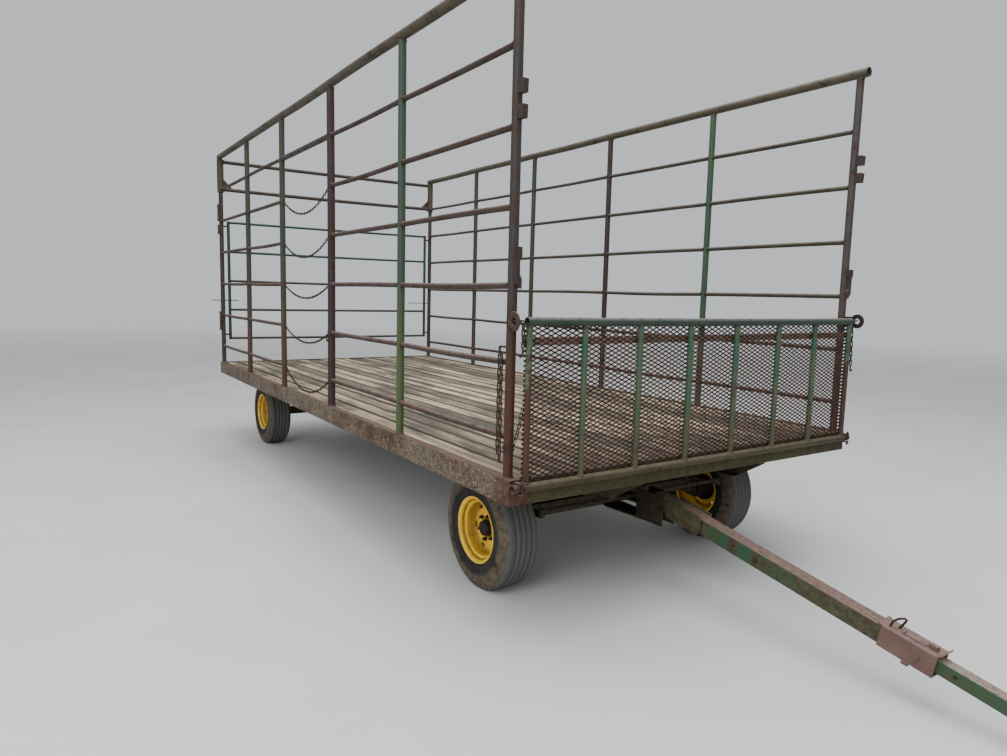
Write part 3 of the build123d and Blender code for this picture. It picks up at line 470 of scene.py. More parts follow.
class Shape:
    """Faces of one joined mesh, gathered before it becomes an object."""

    def __init__(self):
        self.verts, self.faces, self.slots, self.smooth = [], [], [], []

    def add(self, verts, faces, slot=0, smooth=False):
        base = len(self.verts)
        self.verts += [tuple(v) for v in verts]
        self.faces += [[base + i for i in face] for face in faces]
        self.slots += [slot] * len(faces)
        self.smooth += [smooth] * len(faces)

    def prism(self, outline, plane, low, high, slot=0):
        """An outline in the plane's own x and y, from low to high along its z."""
        count = len(outline)
        verts = [plane @ Vector((x, y, z)) for z in (low, high) for x, y in outline]
        sides = [(i, (i + 1) % count, count + (i + 1) % count, count + i) for i in range(count)]
        caps = [tuple(reversed(range(count))), tuple(range(count, 2 * count))]
        self.add(verts, sides + caps, slot)

    def box(self, low, high, slot=0, plane=Matrix()):
        self.prism([(low[0], low[1]), (high[0], low[1]), (high[0], high[1]), (low[0], high[1])],
                   plane, low[2], high[2], slot)

    def side_box(self, side, x, y, z, slot=0, plane=Matrix()):
        """A box from pairs of places; y counts outwards on the given side."""
        low_y, high_y = sorted(side * v for v in y)
        self.box((x[0], low_y, z[0]), (x[1], high_y, z[1]), slot, plane)

    def tube(self, points, radius, sides=16, slot=0, bore=0.0, closed=False, swell=None,
             depth=0.12):
        """A round bar along the points; with a bore its first end is open to some depth."""
        points = [Vector(p) for p in points]
        count = len(points)
        rings, normal = [], None
        for i, point in enumerate(points):
            before = points[i - 1] if closed or i else point
            after = points[(i + 1) % count] if closed or i < count - 1 else point
            along = (after - before).normalized()
            if normal is None:
                normal = square_to(along)
            normal = (normal - along * normal.dot(along)).normalized()
            across = along.cross(normal)
            width = radius * (swell[i] if swell else 1.0)
            rings.append([point + (normal * cos(tau * k / sides) + across * sin(tau * k / sides))
                          * width for k in range(sides)])
        verts = [v for ring in rings for v in ring]
        spans = range(count if closed else count - 1)
        faces = [(i * sides + k, i * sides + (k + 1) % sides,
                  (i + 1) % count * sides + (k + 1) % sides, (i + 1) % count * sides + k)
                 for i in spans for k in range(sides)]
        self.add(verts, faces, slot, smooth=True)
        if closed:
            return
        self.add(rings[-1], [tuple(range(sides))], slot)
        if not bore:
            self.add(rings[0], [tuple(reversed(range(sides)))], slot)
            return
        inward = (points[1] - points[0]).normalized() * depth
        mouth = [points[0] + (v - points[0]) * bore for v in rings[0]]
        floor = [v + inward for v in mouth]
        loop = [(k, (k + 1) % sides) for k in range(sides)]
        self.add(rings[0] + mouth, [(b, a, sides + a, sides + b) for a, b in loop], slot)
        self.add(mouth + floor, [(b, a, sides + a, sides + b) for a, b in loop], slot, smooth=True)
        self.add(floor, [tuple(reversed(range(sides)))], slot)

    def lathe(self, profile, centre, way, steps, holes=(), slot=0):
        """A closed profile of (out, radius) turned about y; holes are left in some bands."""
        centre = Vector(centre)
        count = len(profile)
        verts = [centre + Vector((r * cos(tau * k / steps), way * out, r * sin(tau * k / steps)))
                 for k in range(steps) for out, r in profile]
        faces = [(k * count + i, k * count + (i + 1) % count,
                  (k + 1) % steps * count + (i + 1) % count, (k + 1) % steps * count + i)
                 for i in range(count) for k in range(steps)
                 if i not in holes or k % (steps // hand_holes) >= hand_hole_steps]
        self.add(verts, [face[::-1] for face in faces] if way > 0 else faces, slot, smooth=True)

    def build(self, name, body, materials, replaces=(), bevel=0.0):
        mesh = bpy.data.meshes.new(name)
        mesh.from_pydata(self.verts, [], self.faces)
        mesh.polygons.foreach_set("material_index", self.slots)
        mesh.polygons.foreach_set("use_smooth", self.smooth)
        for material in materials:
            mesh.materials.append(material)
        mesh.validate()
        piece = add_object(name, mesh)
        if bevel:
            soften(piece, bevel)
        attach(piece, body)
        if replaces:
            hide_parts(*replaces)


def bowed(start, end, bow, steps=8):
    """Points from start to end that leave the straight line by bow at the middle."""
    start, end, bow = Vector(start), Vector(end), Vector(bow)
    return [start.lerp(end, i / steps) + bow * sin(pi * i / steps) for i in range(steps + 1)]


def weld(shape, centre, axis, radius, rng, slot=0, bead=0.004):
    """A lumpy bead of weld round a pipe's end."""
    axis = Vector(axis).normalized()
    side = square_to(axis)
    up = axis.cross(side)
    steps = 18
    ring = [Vector(centre) + (side * cos(tau * k / steps) + up * sin(tau * k / steps)) * radius
            for k in range(steps)]
    shape.tube(ring, bead, 6, slot, closed=True, swell=[rng.uniform(0.6, 1.35) for _ in ring])


def dress(node, material, edge=0.0):
    """Give a CAD node its material and, with an edge, softly rounded edges."""
    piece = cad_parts[node]
    piece.data.materials.clear()
    piece.data.materials.append(material)
    if edge:
        piece.modifiers.new("joined", "WELD").merge_threshold = 0.0001
        soften(piece, edge)


def eye_plate(shape, centre, way, radius, hole, thick, slot=0):
    """A flat disc across y with a hole through it."""
    rounding = 0.002
    shape.lathe([(0, hole), (0, radius - rounding), (rounding, radius),
                 (thick - rounding, radius), (thick, radius - rounding), (thick, hole)],
                centre, way, 40, slot=slot)


def nut(shape, place, way, radius, slot=0, length=0.010):
    """A hexagonal head on a surface, with the bolt's end on it."""
    place, way = Vector(place), Vector(way).normalized()
    shape.tube([place, place + way * length], radius, 6, slot)
    shape.tube([place + way * length, place + way * length * 1.6], radius * 0.55, 10, slot)


# Deck
dress("side_channels", side_steel, 0.004)
dress("end_channels", front_steel, 0.003)
dress("cross_members", gear_iron)
dress("main_sills", sill_olive, 0.003)


def make_planks():
    rng = Random(5)
    low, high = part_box("deck_planks")
    width = (high.y - low.y - plank_gap * (plank_count - 1)) / plank_count
    shape = Shape()
    steps = 14
    for i in range(plank_count):
        y = low.y + i * (width + plank_gap)
        sink = rng.uniform(0.0, 0.004)
        rows = []
        for s in range(steps + 1):
            x = low.x + (high.x - low.x) * s / steps
            top = high.z - sink - rng.uniform(0.0, 0.0015)
            rows += [(x, y, low.z), (x, y + width, low.z), (x, y + width, top), (x, y, top)]
        faces = [(4 * s + k, 4 * s + (k + 1) % 4, 4 * s + 4 + (k + 1) % 4, 4 * s + 4 + k)
                 for s in range(steps) for k in range(4)]
        end = 4 * steps
        faces = [face[::-1] for face in faces]
        shape.add(rows, faces + [(0, 1, 2, 3), (end + 3, end + 2, end + 1, end)])
    shape.build("plank_boards", "wagon", [planks], ["deck_planks"], 0.004)


make_planks()

# Posts, from the rear; the photograph shows each in its own old paint
post_paints = {
    -1: (dark_brown, green_brown, green_brown, purple_brown, light_green, front_post_paint),
    1: (dark_brown, green_brown, green_brown, purple_brown, leaf_green, far_post_paint),
}


def make_posts(side, name):
    rng = Random(11 + side)
    shape = Shape()
    y = side * post_y
    sleeve_low = rail_z[-1] - sleeve_skirt
    welds, fittings, straps = 6, 7, 8
    for i, x in enumerate(post_x):
        radius = door_post_radius if side < 0 and i == door_bay + 1 else post_radius
        top = post_top if i else sleeve_low + 0.02
        bow = (rng.uniform(-0.004, 0.004), rng.uniform(-0.004, 0.004), 0)
        shape.tube(bowed((x, y, deck_top), (x, y, top), bow), radius, 24, i)
        weld(shape, (x, y, deck_top + 0.002), (0, 0, 1), radius, rng, welds, 0.006)
        weld(shape, (x, y, post_top), (0, 0, 1), radius, rng, welds)
    rear, front = post_x[0], post_x[-1] + post_radius
    shape.tube([(rear, y, sleeve_low), (rear, y, post_top)], sleeve_radius, 24, straps)
    plane = Matrix.Translation((front, y, deck_top)) @ Matrix.Rotation(pi / 2, 4, "X")
    for height in lug_heights:
        shape.prism([(-0.006, height - 0.030), (0.042, height - 0.0325), (0.045, height + 0.027),
                     (0.030, height + 0.0325), (-0.006, height + 0.0325)], plane, -0.015, 0.015,
                    fittings)
    plane = Matrix.Translation((front - 0.001, y, deck_top)) @ Matrix(
        ((0, 0, 1, 0), (1, 0, 0, 0), (0, 1, 0, 0), (0, 0, 0, 1)))
    shape.prism([(-u * side, v) for u, v in catch_outline[::-side]], plane, 0.0, 0.019, fittings)
    if side < 0:
        near = y - post_radius
        for low, high in strap_spans:
            shape.box((rear - 0.022, near - 0.014, deck_top + low),
                      (rear + 0.022, near + 0.004, deck_top + high), straps)
            for z in (low + 0.018, high - 0.018):
                nut(shape, (rear, near - 0.0138, deck_top + z), (0, -1, 0), 0.008, straps, 0.005)
        shape.tube([(rear + post_radius - 0.002, y + 0.004, deck_top + 1.664),
                    (rear + post_radius + 0.026, y + 0.004, deck_top + 1.664)], 0.008, 12, straps)
        door = post_x[door_bay + 1]
        for low, high in ((1.30, 1.75), (0.30, 0.50)):
            shape.box((door - door_post_radius - 0.007, y - 0.013, deck_top + low),
                      (door - door_post_radius + 0.004, y + 0.013, deck_top + high), fittings)
    shape.build(name, "wagon", [*post_paints[side], weld_grey, purple_brown, olive_brown],
                [name.replace("rack_", "")], 0.0015)


make_posts(-1, "rack_right_posts")
make_posts(1, "rack_left_posts")


def make_top_rails():
    rng = Random(3)
    low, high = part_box("top_rails")
    shape = Shape()
    for side in (-1, 1):
        points = []
        for i in range(bay_count):
            points += bowed((post_x[i], side * post_y, top_rail_z),
                            (post_x[i + 1], side * post_y, top_rail_z),
                            (0, rng.uniform(-0.004, 0.004), rng.uniform(-0.005, 0.001)), 6)[:-1]
        points[0].x = low.x
        points.append(Vector((high.x, side * post_y, top_rail_z)))
        shape.tube(points[::-1], top_rail_radius, 24, 0 if side < 0 else 1, bore=0.88)
    shape.build("rack_top_rails", "wagon", [olive_brown, grey_brown], ["top_rails"])


make_top_rails()


def make_rails(side, name, node):
    rng = Random(23 + side)
    shape = Shape()
    for level, z in enumerate(rail_z):
        for i in range(bay_count):
            in_door = side < 0 and i == door_bay
            if in_door and level < rail_count - 1:
                continue
            ends = [door_post_radius if side < 0 and k == door_bay + 1 else post_radius
                    for k in (i, i + 1)]
            radius = door_rail_radius if in_door else rail_radius
            if i == 0 and level == rail_count - 1:
                ends[0] = sleeve_radius
            start = (post_x[i] + ends[0] - 0.002, side * post_y, z)
            end = (post_x[i + 1] - ends[1] + 0.002, side * post_y, z)
            bow = (0, rng.uniform(-0.005, 0.005), rng.uniform(-0.006, 0.004))
            paint = 1 if in_door else 2 if side > 0 and level > 0 else 0
            shape.tube(bowed(start, end, bow), radius, 16, paint)
            for x, tilt in ((start[0], 1), (end[0], -1)):
                weld(shape, (x + tilt * 0.003, side * post_y, z), (1, 0, 0), radius, rng, 3, 0.0035)
    shape.build(name, "wagon", [rail_brown, dark_brown, far_rail, rusty_strap], [node])


make_rails(-1, "rack_right_rails", "right_rails")
make_rails(1, "rack_left_rails", "left_rails")


def add_chain(shape, points, pitch=0.032, wire=0.0032, slot=0):
    """Links along the points, each turned a quarter from the one before."""
    points = [Vector(p) for p in points]
    lengths = [(b - a).length for a, b in zip(points, points[1:])]
    count = max(1, round(sum(lengths) / pitch))
    step = sum(lengths) / count

    def at(distance):
        for a, b, length in zip(points, points[1:], lengths):
            if distance <= length:
                return a.lerp(b, distance / length)
            distance -= length
        return points[-1]

    for i in range(count):
        start, end = at(i * step), at((i + 1) * step)
        along = (end - start).normalized()
        side = along.cross(Vector((0, 1, 0)) if abs(along.y) < 0.9 else Vector((0, 0, 1)))
        side.normalize()
        if i % 2:
            side = along.cross(side)
        middle, half = (start + end) / 2, step / 2 + wire * 0.8
        width = 0.0105 - wire
        ring = []
        for k in range(12):
            turn = tau * k / 12
            reach = (half - width) * (1 if cos(turn) >= 0 else -1)
            ring.append(middle + along * (reach + width * cos(turn)) + side * width * sin(turn))
        shape.tube(ring, wire, 6, slot, closed=True)


def hanging(start, end, sag, steps=24):
    start, end = Vector(start), Vector(end)
    return [start.lerp(end, i / steps) - Vector((0, 0, 4 * sag * (i / steps) * (1 - i / steps)))
            for i in range(steps + 1)]


def make_door_chains():
    shape = Shape()
    for level, sag in enumerate(chain_sags):
        z = rail_z[rail_count - 2 - level]
        add_chain(shape, hanging((post_x[door_bay] + post_radius, -post_y, z),
                                 (post_x[door_bay + 1] - door_post_radius, -post_y, z), sag))
    shape.build("door_chain_links", "wagon", [dark_chain], ["doorway_chains"])


make_door_chains()


def hook(shape, top, way, size, slot=0):
    """A bent hook that hangs from its top; its point turns towards way."""
    top, way = Vector(top), Vector(way).normalized()
    down = Vector((0, 0, -1))
    bend = [top, top + down * size]
    bend += [top + down * size + way * size * 0.35 * (1 - cos(pi * k / 6))
             + down * size * 0.35 * sin(pi * k / 6) for k in range(1, 7)]
    shape.tube(bend, 0.005, 8, slot)


def wire_ring(shape, x, radius, z, lean=0.0, tip=0.0):
    """A turn of wire round a right post; it rises by lean along x and by tip along y."""
    reach = radius + wire_gap
    turns = [tau * k / 20 for k in range(20)]
    ring = [(x + reach * cos(turn), -post_y + reach * sin(turn),
             z + lean * cos(turn) + tip * sin(turn)) for turn in turns]
    shape.tube(ring, wire_radius, 6, 1, closed=True)


def make_loose_chains():
    """Chains and wire that hang on the front posts and on the doorway's front post."""
    x, y = post_x[-1], post_y
    shape = Shape()
    for strand in (((-0.066, -0.018, 1.500), (-0.073, -0.016, 1.25), (-0.069, -0.018, 0.990)),
                   ((-0.036, -0.026, 1.480), (-0.039, -0.025, 1.22), (-0.038, -0.026, 0.955))):
        add_chain(shape, [(x + dx, -y + dy, z) for dx, dy, z in strand], *post_chain)
    shape.tube([(x - post_radius + 0.004, -y - 0.012, 1.507), (x - 0.070, -y - 0.018, 1.505)],
               0.005, 8, 1)
    stile = (hinge_x - 0.022, -gate_half + 0.004, 1.225)
    add_chain(shape, hanging((x + 0.018, -y - 0.014, 1.010), stile, 0.050), 0.026, 0.0026, 1)
    for z, lean in ((1.012, 0.010), (1.024, -0.008), (1.038, 0.005)):
        wire_ring(shape, x, post_radius, z, lean=lean)
    for side in (-1, 1):
        add_chain(shape, [(hinge_x, side * (y + 0.040), gate_top_z + 0.004),
                          (hinge_x, side * (gate_half + 0.008), gate_top_z - 0.006)],
                  *latch_chain, 1)
        drop = 0.10 if side < 0 else 0.27
        end = (hinge_x + 0.006, side * (gate_half + 0.024), gate_top_z - 0.02 - drop)
        add_chain(shape, [(hinge_x, side * (gate_half + 0.020), gate_top_z - 0.012), end],
                  *latch_chain, 1)
        hook(shape, end, (0, side, 0), 0.030, 1)
    door = post_x[door_bay + 1]
    for z in (rail_z[1] - 0.02, rail_z[1] + 0.01):
        wire_ring(shape, door, door_post_radius, z, tip=0.006)
    hook(shape, (door - 0.01, -y - door_post_radius - 0.006, rail_z[1] - 0.015), (1, 0, 0),
         0.035, 1)
    shape.build("loose_chains", "wagon", [rusty_chain, dark_chain])


make_loose_chains()


# Rear frame and gate
def make_rear():
    rng = Random(31)
    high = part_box("rear_rails")[1]
    x = post_x[0]
    inner = post_y - sleeve_radius
    shape = Shape()
    for z in (high.z - rear_rail_radius, rail_z[-1]):
        shape.tube(bowed((x, -inner, z), (x, inner, z), (0, 0, -0.006)), rear_rail_radius, 16)
        for side in (-1, 1):
            weld(shape, (x, side * (inner - 0.003), z), (0, 1, 0), rear_rail_radius, rng, 1)
    base = rail_z[-1] + rear_rail_radius
    plane = Matrix.Translation((x, 0, 0)) @ Matrix.Rotation(pi / 2, 4, "X") @ Matrix.Rotation(
        pi / 2, 4, "Y")
    for side in (-1, 1):
        outline = [(side * inner, base), (side * inner, base + 0.09), (side * (inner - 0.09), base)]
        shape.prism(outline if side < 0 else outline[::-1], plane, -0.005, 0.005)
    shape.build("rear_frame", "wagon", [dark_brown, weld_grey], ["rear_rails"])

    low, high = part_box("rear_gate")
    stile_y = low.y + rear_stile_radius
    shape = Shape()
    for side in (-1, 1):
        shape.tube([(x, side * stile_y, low.z), (x, side * stile_y, high.z)],
                   rear_stile_radius, 16, 3)
    rise = high.z - low.z - 2 * rear_bar_radius
    for i in range(rear_gate_bars):
        z = low.z + rear_bar_radius + rise * i / (rear_gate_bars - 1)
        end = -stile_y - rear_stile_radius
        bow = (0, 0, rng.uniform(-0.006, 0.002))
        paint = 0 if i > 2 else 1
        shape.tube(bowed((x, -end, z), (x, end, z), bow), rear_bar_radius, 12, paint)
        for side in (-1, 1):
            weld(shape, (x, side * (end + 0.002), z), (0, 1, 0), rear_bar_radius, rng, 1, 0.003)
    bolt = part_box("rear_gate_stubs")
    bolt_x, bolt_z = bolt[0].x + 0.005, deck_top + 0.720
    shape.tube([(bolt_x, post_y + 0.005, bolt_z), (bolt_x, post_y - 0.29, bolt_z)], 0.005, 8, 2)
    shape.build("rear_gate_frame", "rear_gate", [deep_green, dark_brown, bolt_iron, stile_green],
                ["rear_gate"])
    dress("rear_gate_stubs", dark_brown)


make_rear()


# Drop gate
def make_drop_gate():
    rng = Random(41)
    x, half, top_z = hinge_x, gate_half, gate_top_z
    shape = Shape()
    shape.tube([(x, -half, hinge_z), (x, half, hinge_z)], hinge_pipe_radius, 24, 1)
    shape.tube(bowed((x, -half, top_z), (x, half, top_z), (0, 0, -0.004)), gate_pipe_radius, 24, 0,
               bore=0.8)
    first = half - gate_bar_radius
    for i in range(gate_bar_count):
        y = -first + 2 * first * i / (gate_bar_count - 1) + gate_bar_shifts[i]
        bow = (0, rng.uniform(-0.004, 0.004) if 0 < i < gate_bar_count - 1 else 0, 0)
        start, end = (x, y, hinge_z + 0.02), (x, y, top_z - 0.02)
        paint = 4 if i == 0 else 5 if i == gate_bar_count - 1 else 2
        shape.tube(bowed(start, end, bow), gate_bar_radius, 16, paint)
        for z in (hinge_z + hinge_pipe_radius, top_z - gate_pipe_radius):
            weld(shape, (x, y, z), (0, 0, 1), gate_bar_radius, rng, 3)
    shape.build("gate_pipes", "drop_gate",
                [gate_top_green, hinge_olive, gate_bar_green, olive_brown, near_stile, far_stile],
                ["drop_gate"])

    low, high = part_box("drop_gate_mesh")
    low = Vector((low.x, low.y, hinge_z + hinge_pipe_radius))
    high = Vector((high.x, high.y, top_z - gate_pipe_radius))
    columns = round((high.y - low.y) / mesh_long)
    rows = round((high.z - low.z) / mesh_short)
    wide, tall = (high.y - low.y) / columns, (high.z - low.z) / rows
    middle = (low.x + high.x) / 2
    shape = Shape()

    def strand(y0, z0, y1, z1):
        along = Vector((0, y1 - y0, z1 - z0))
        lean = atan2(z1 - z0, y1 - y0)
        plane = Matrix.Translation((middle, y0, z0)) @ Matrix.Rotation(lean, 4, "X")
        depth, half = mesh_strand
        shape.box((-depth, 0, -half), (depth, along.length, half), 0, plane)

    for row in range(rows):
        for column in range(columns):
            y, z = low.y + wide * column, low.z + tall * row
            strand(y, z, y + wide / 2, z + tall / 2)
            strand(y, z + tall, y + wide / 2, z + tall / 2)
            strand(y + wide / 2, z + tall / 2, y + wide, z)
            strand(y + wide / 2, z + tall / 2, y + wide, z + tall)
    shape.build("gate_expanded_metal", "drop_gate", [rusty_mesh], ["drop_gate_mesh"])
    dress("drop_gate_strap", gate_strap_rust, 0.0015)


make_drop_gate()


def make_corner_plates():
    """Plates that close the ends of the side channels."""
    shape = Shape()
    for x in (deck_low.x + 0.0015, deck_high.x - 0.0045):
        for side in (-1, 1):
            shape.side_box(side, (x, x + 0.003), (deck_high.y - 0.046, deck_high.y - 0.001),
                           (deck_low.z + 0.001, deck_high.z - 0.001))
    shape.build("corner_plates", "wagon", [corner_rust])


make_corner_plates()


def make_gate_fittings():
    """Hinge brackets with open pipe ends at the deck's corners, and flat eyes on the posts."""
    rng = Random(47)
    side_face = deck_high.y - clearance
    shape = Shape()
    for side in (-1, 1):
        near = gate_half + clearance
        shape.tube([(hinge_x, side * side_face, hinge_z), (hinge_x, side * near, hinge_z)],
                   hinge_pipe_radius, 24, bore=0.64, depth=0.020)
        shape.side_box(side, (front_face - 0.001, hinge_x), (near, near + 0.008),
                       (hinge_z - 0.022, hinge_z + 0.022))
        for up in (-1, 1):
            shape.side_box(side, (front_face - 0.001, hinge_x + 0.034),
                           (near + 0.008, near + 0.034),
                           sorted((hinge_z + up * 0.0225, hinge_z + up * 0.0285)))
        bolt = (hinge_x + 0.0275, side * (near + 0.021))
        shape.tube([(*bolt, hinge_z - 0.034), (*bolt, hinge_z + 0.034)], 0.0042, 10)
        for up in (-1, 1):
            nut(shape, (*bolt, hinge_z + up * 0.0285), (0, 0, up), 0.0085)
        shape.tube([(hinge_x, side * near, hinge_z),
                    (hinge_x, side * (gate_half - 0.054), hinge_z)], 0.014, 16)
        weld(shape, (front_face + 0.004, side * (side_face - 0.012), hinge_z), (1, 0, 0), 0.016,
             rng)
    shape.build("hinge_brackets", "wagon", [corner_rust], ["gate_hinges"], 0.0012)

    shape = Shape()
    for side in (-1, 1):
        inner = side * (post_y + 0.039)
        eye_plate(shape, (hinge_x, inner, gate_top_z), side, 0.047, 0.018, 0.008,
                  0 if side < 0 else 1)
        shape.side_box(side, (post_x[-1] + post_radius - 0.004, hinge_x - 0.022),
                       (post_y + 0.002, post_y + 0.039), (gate_top_z - 0.030, gate_top_z + 0.030),
                       1)
        nut(shape, (hinge_x - 0.020, inner + side * 0.008, gate_top_z - 0.030), (0, side, 0),
            0.006, 0, 0.004)
    shape.build("latch_eyes", "wagon", [latch_eye_rust, black_iron_and_hole_shade], ["gate_latches"], 0.0015)


make_gate_fittings()

# Running gear
for node in ("front_axle", "rear_axle", "front_bolster", "rear_bolster", "reach_pole",
             "reach_hounds", "knuckle_right", "knuckle_left"):
    dress(node, gear_iron, 0.003)
dress("steering_yoke", yoke_iron, 0.002)
for node in ("tie_rod_right", "tie_rod_left"):
    dress(node, rod_steel)


def make_wheel(name, side):
    """A ribbed tyre, its dished rim with six bolts, and the hub."""
    low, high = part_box(f"{name}_tyre")
    centre = (low + high) / 2
    body = f"{name}_wheel"
    tread = []
    for out in rib_starts:
        tread += [(out + 0.001, tyre_radius), (out + 0.0305, tyre_radius),
                  (out + rib_width, tyre_radius - groove_depth),
                  (out + rib_width + 0.002, tyre_radius - groove_depth)]
    tread = tread[:-2]
    wall = [(rim_half, rim_radius), (0.108, 0.204), (0.113, 0.222), (0.1135, 0.227), (0.118, 0.245),
            (0.1205, 0.262), (tyre_half, 0.268), (0.1205, 0.284), (0.119, 0.300), (0.1165, 0.312),
            (0.1155, 0.316), (0.108, 0.330), (0.102, 0.340), (0.096, 0.348), (0.090, 0.3535)]
    shape = Shape()
    shape.lathe([(-out, r) for out, r in wall] + tread + wall[::-1], centre, side, wheel_steps)
    shape.build(f"{name}_tread", body, [tyre_rubber(f"{name}_rubber", (centre.x, 0, centre.z))],
                [f"{name}_tyre"])

    front = [(rim_half + 0.002, rim_radius + 0.004), (rim_half + 0.006, rim_radius + 0.008),
             (rim_half + 0.0095, rim_radius + 0.007), (rim_half + 0.0105, rim_radius + 0.002),
             (rim_half + 0.006, rim_radius - 0.006), (rim_half - 0.002, rim_radius - 0.012),
             (0.090, 0.178), (0.082, 0.176), (0.078, 0.172), (0.072, 0.162), (0.066, 0.159),
             (0.036, 0.157), (0.030, 0.154), (0.024, 0.148), (0.020, 0.143), (0.012, 0.126),
             (0.012, 0.120), (0.018, 0.104), (0.020, 0.096), (0.020, 0.048)]
    back = [(0.002, 0.048), (0.002, 0.096), (0.002, 0.104), (-0.002, 0.120), (-0.002, 0.126),
            (0.002, 0.145), (0.010, 0.150), (0.018, 0.160), (0.020, 0.166), (-0.060, 0.172),
            (-rim_half, rim_radius - 0.012), (-rim_half, rim_radius)]
    shape = Shape()
    holes = (front.index((0.020, 0.143)), len(front) + back.index((-0.002, 0.126)))
    shape.lathe(front + back, centre, side, wheel_steps, holes)
    paint = rim_paint(f"{name}_rim_paint", (centre.x, 0, centre.z))
    shape.build(f"{name}_dish", body, [paint], [f"{name}_rim"])

    shape = Shape()
    shape.lathe([(-0.115, 0.031), (-0.115, 0.060), (-0.014, 0.060), (-0.014, 0.096),
                 (-0.001, 0.096), (-0.001, 0.047), (0.030, 0.047), (0.050, 0.046), (0.057, 0.042),
                 (0.060, 0.034), (0.062, 0.002), (0.0, 0.002), (0.0, 0.031)], centre, side, 48)
    for k in range(wheel_bolts):
        turn = tau * (k + 0.3) / wheel_bolts
        place = centre + Vector((bolt_circle * cos(turn), side * 0.019, bolt_circle * sin(turn)))
        shape.tube([place, place + Vector((0, side * 0.014, 0))], 0.0125, 6, 1)
        shape.tube([place, place + Vector((0, side * 0.026, 0))], 0.0070, 10, 1)
    shape.build(f"{name}_centre", body, [hub_iron, black_iron_and_hole_shade], [f"{name}_hub"])


for name, side in (("front_right", -1), ("front_left", 1), ("rear_right", -1), ("rear_left", 1)):
    make_wheel(name, side)

# Tongue
dress("tongue_tube", tongue_green, 0.006)
dress("drawbar", drawbar_green, 0.005)
dress("hitch_clevis", drawbar_green, 0.002)


def on_tongue(*place):
    """A place counted along the tongue, to its left and up from its middle."""
    return tongue_plane @ Vector(place)


def make_tongue_details():
    """Holes, drawn as dark discs of painted shade, and bolts and welds on the tongue's sides."""
    shape = Shape()
    for side in (-1, 1):
        flank = side * tongue_half
        # Dark discs of painted shade stand for the holes
        for s, h in ((0.577, 0.004), (0.600, -0.010)):
            shape.tube([on_tongue(s, flank + side * 0.0004, h),
                        on_tongue(s, flank - side * 0.002, h)], 0.0085 if h > 0 else 0.004, 12, 1)
        nut(shape, on_tongue(0.726, flank, -0.004), (0, side, 0), 0.013, 0, 0.009)
        for s in (0.345, 0.352):
            shape.tube([on_tongue(s, flank + side * 0.001, h * 0.01) for h in range(-4, 5)],
                       0.003, 6)
    shape.build("tongue_bolts", "tongue", [rusty_chain, black_iron_and_hole_shade])

    shape = Shape()
    # Dark discs of painted shade stand for the drawbar's holes
    for side in (-1, 1):
        shape.tube([on_tongue(1.741, side * 0.0325, 0.002), on_tongue(1.741, side * 0.029, 0.002)],
                   0.0095, 14)
    shape.build("drawbar_holes", "drawbar", [black_iron_and_hole_shade])


make_tongue_details()


def make_latch():
    """The housing at the tube's mouth: slotted top, bent-rod loop, lug and turned-up lip."""
    inner, outer = tongue_half + clearance, tongue_half + 0.0063
    shape = Shape()
    place = tongue_plane
    shape.box((latch_start, -outer, -outer), (latch_end, outer, -inner), 0, place)
    for side in (-1, 1):
        shape.side_box(side, (latch_start, latch_end), (inner, outer), (-inner, inner), 0, place)
    slot_start, slot_end = latch_start + 0.080, latch_start + 0.170
    for start, end in ((latch_start, slot_start), (slot_end, latch_end)):
        shape.box((start, -outer, inner), (end, outer, outer), 0, place)
    for side in (-1, 1):
        shape.side_box(side, (slot_start, slot_end), (0.018, outer), (inner, outer), 0, place)
    shape.box((slot_start + 0.006, -0.017, outer - 0.003), (slot_end + 0.012, 0.030, outer + 0.004),
              0, place)
    lug = latch_end - 0.041
    shape.box((lug - 0.017, -0.013, outer - 0.002), (lug + 0.017, 0.013, outer + 0.022), 0, place)
    for edge, tilt, reach in ((latch_end - 0.004, -50, (0, 0.026)),
                              (latch_start + 0.004, 22, (-0.026, 0))):
        lip = Matrix.Translation(on_tongue(edge, 0, outer - 0.003)) @ (
            Matrix.Rotation(slope + radians(tilt), 4, "Y"))
        shape.box((reach[0], -outer, -0.003), (reach[1], outer, 0.003), 0, lip)
    rod = ((1.438, -0.020, 0), (1.444, -0.018, 0.030), (1.458, -0.010, 0.048),
           (1.478, 0.002, 0.060), (1.486, 0.006, 0.056), (1.482, 0.008, 0.040),
           (1.466, 0.008, -0.002))
    shape.tube([on_tongue(s, y, outer + rise) for s, y, rise in rod], 0.0055, 10, 1)
    for side in (-1, 1):
        nut(shape, on_tongue(1.587, side * outer, -0.004), (0, side, 0), 0.013, 0, 0.008)
        shape.side_box(side, (1.535, 1.565), (outer - 0.010, outer + 0.006),
                       (-outer - 0.012, -outer + 0.004), 0, place)
    shape.build("latch_housing", "tongue", [latch_rust, rusty_chain], ["tongue_latch"], 0.0015)


make_latch()

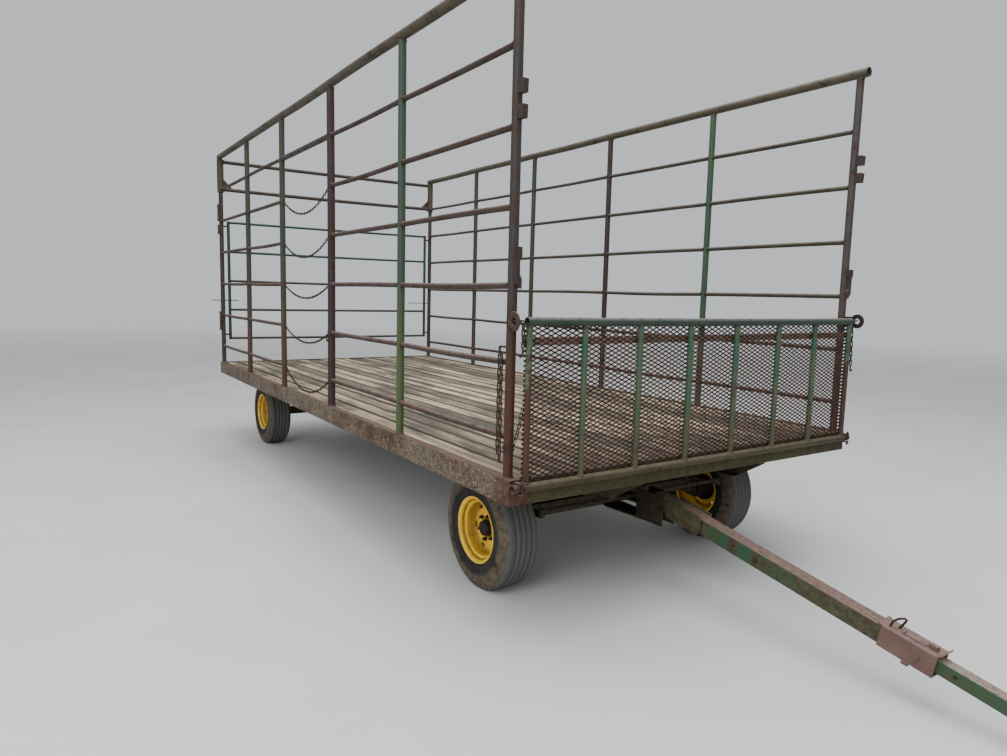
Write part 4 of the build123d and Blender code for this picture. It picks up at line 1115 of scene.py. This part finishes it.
# Floor, light and camera
backdrop = (0.86, 0.90, 0.95)
backdrop_strength = 0.75
floor_half = 60.0
fade_start, fade_end = 9.0, 34.0        # from here on the floor turns into the backdrop
floor_mesh = bpy.data.meshes.new("studio_floor")
floor_mesh.from_pydata([(-floor_half, -floor_half, 0), (floor_half, -floor_half, 0),
                        (floor_half, floor_half, 0), (-floor_half, floor_half, 0)],
                       [], [(0, 1, 2, 3)])
floor = add_object("studio_floor", floor_mesh)
floor_look = Look("studio_floor", 0.9)
floor_look.shader["Specular IOR Level"].default_value = 0.0
floor_look.shader["Emission Color"].default_value = (*backdrop, 1)
fade = floor_look.mask(floor_look.vector("LENGTH", floor_look.place)["Value"], fade_start, fade_end)
floor_look.wire(floor_look.times(fade, backdrop_strength),
                floor_look.shader["Emission Strength"])
floor_look.tint = floor_look.mix(floor_look.patches(0.8, 3, 0.3, 0.7),
                                 (206, 206, 204), (212, 212, 210))
floor_look.cover(fade, (0, 0, 0))
floor_mesh.materials.append(floor_look.done())

world = bpy.data.worlds.new("studio")
world.use_nodes = True
world.node_tree.nodes["Background"].inputs["Color"].default_value = (*backdrop, 1)
world.node_tree.nodes["Background"].inputs["Strength"].default_value = backdrop_strength
bpy.context.scene.world = world


def area_light(name, place, target, size, power):
    data = bpy.data.lights.new(name, "AREA")
    data.size = size
    data.energy = power
    light = add_object(name, data)
    light.location = place
    light.rotation_euler = (Vector(target) - Vector(place)).to_track_quat("-Z", "Y").to_euler()


area_light("overhead", (1.0, -1.0, 9.0), (0.0, 0.0, 0.5), 9.0, 900)
area_light("from_the_right", (6.0, -8.0, 6.0), (0.5, 0.0, 0.8), 5.0, 500)

forward = Vector((cos(camera_azimuth) * cos(camera_pitch), sin(camera_azimuth) * cos(camera_pitch),
                  sin(camera_pitch)))
level = Vector((sin(camera_azimuth), -cos(camera_azimuth), 0))
above = level.cross(forward)
right = level * cos(camera_roll) + above * sin(camera_roll)
up = above * cos(camera_roll) - level * sin(camera_roll)
lens = bpy.data.cameras.new("photo_camera")
lens.lens = camera_lens
lens.sensor_width = 36.0
lens.clip_end = 200
camera = add_object("photo_camera", lens)
turn = Matrix((right, up, -forward)).transposed().to_4x4()
camera.matrix_world = Matrix.Translation(camera_place) @ turn
bpy.context.scene.camera = camera
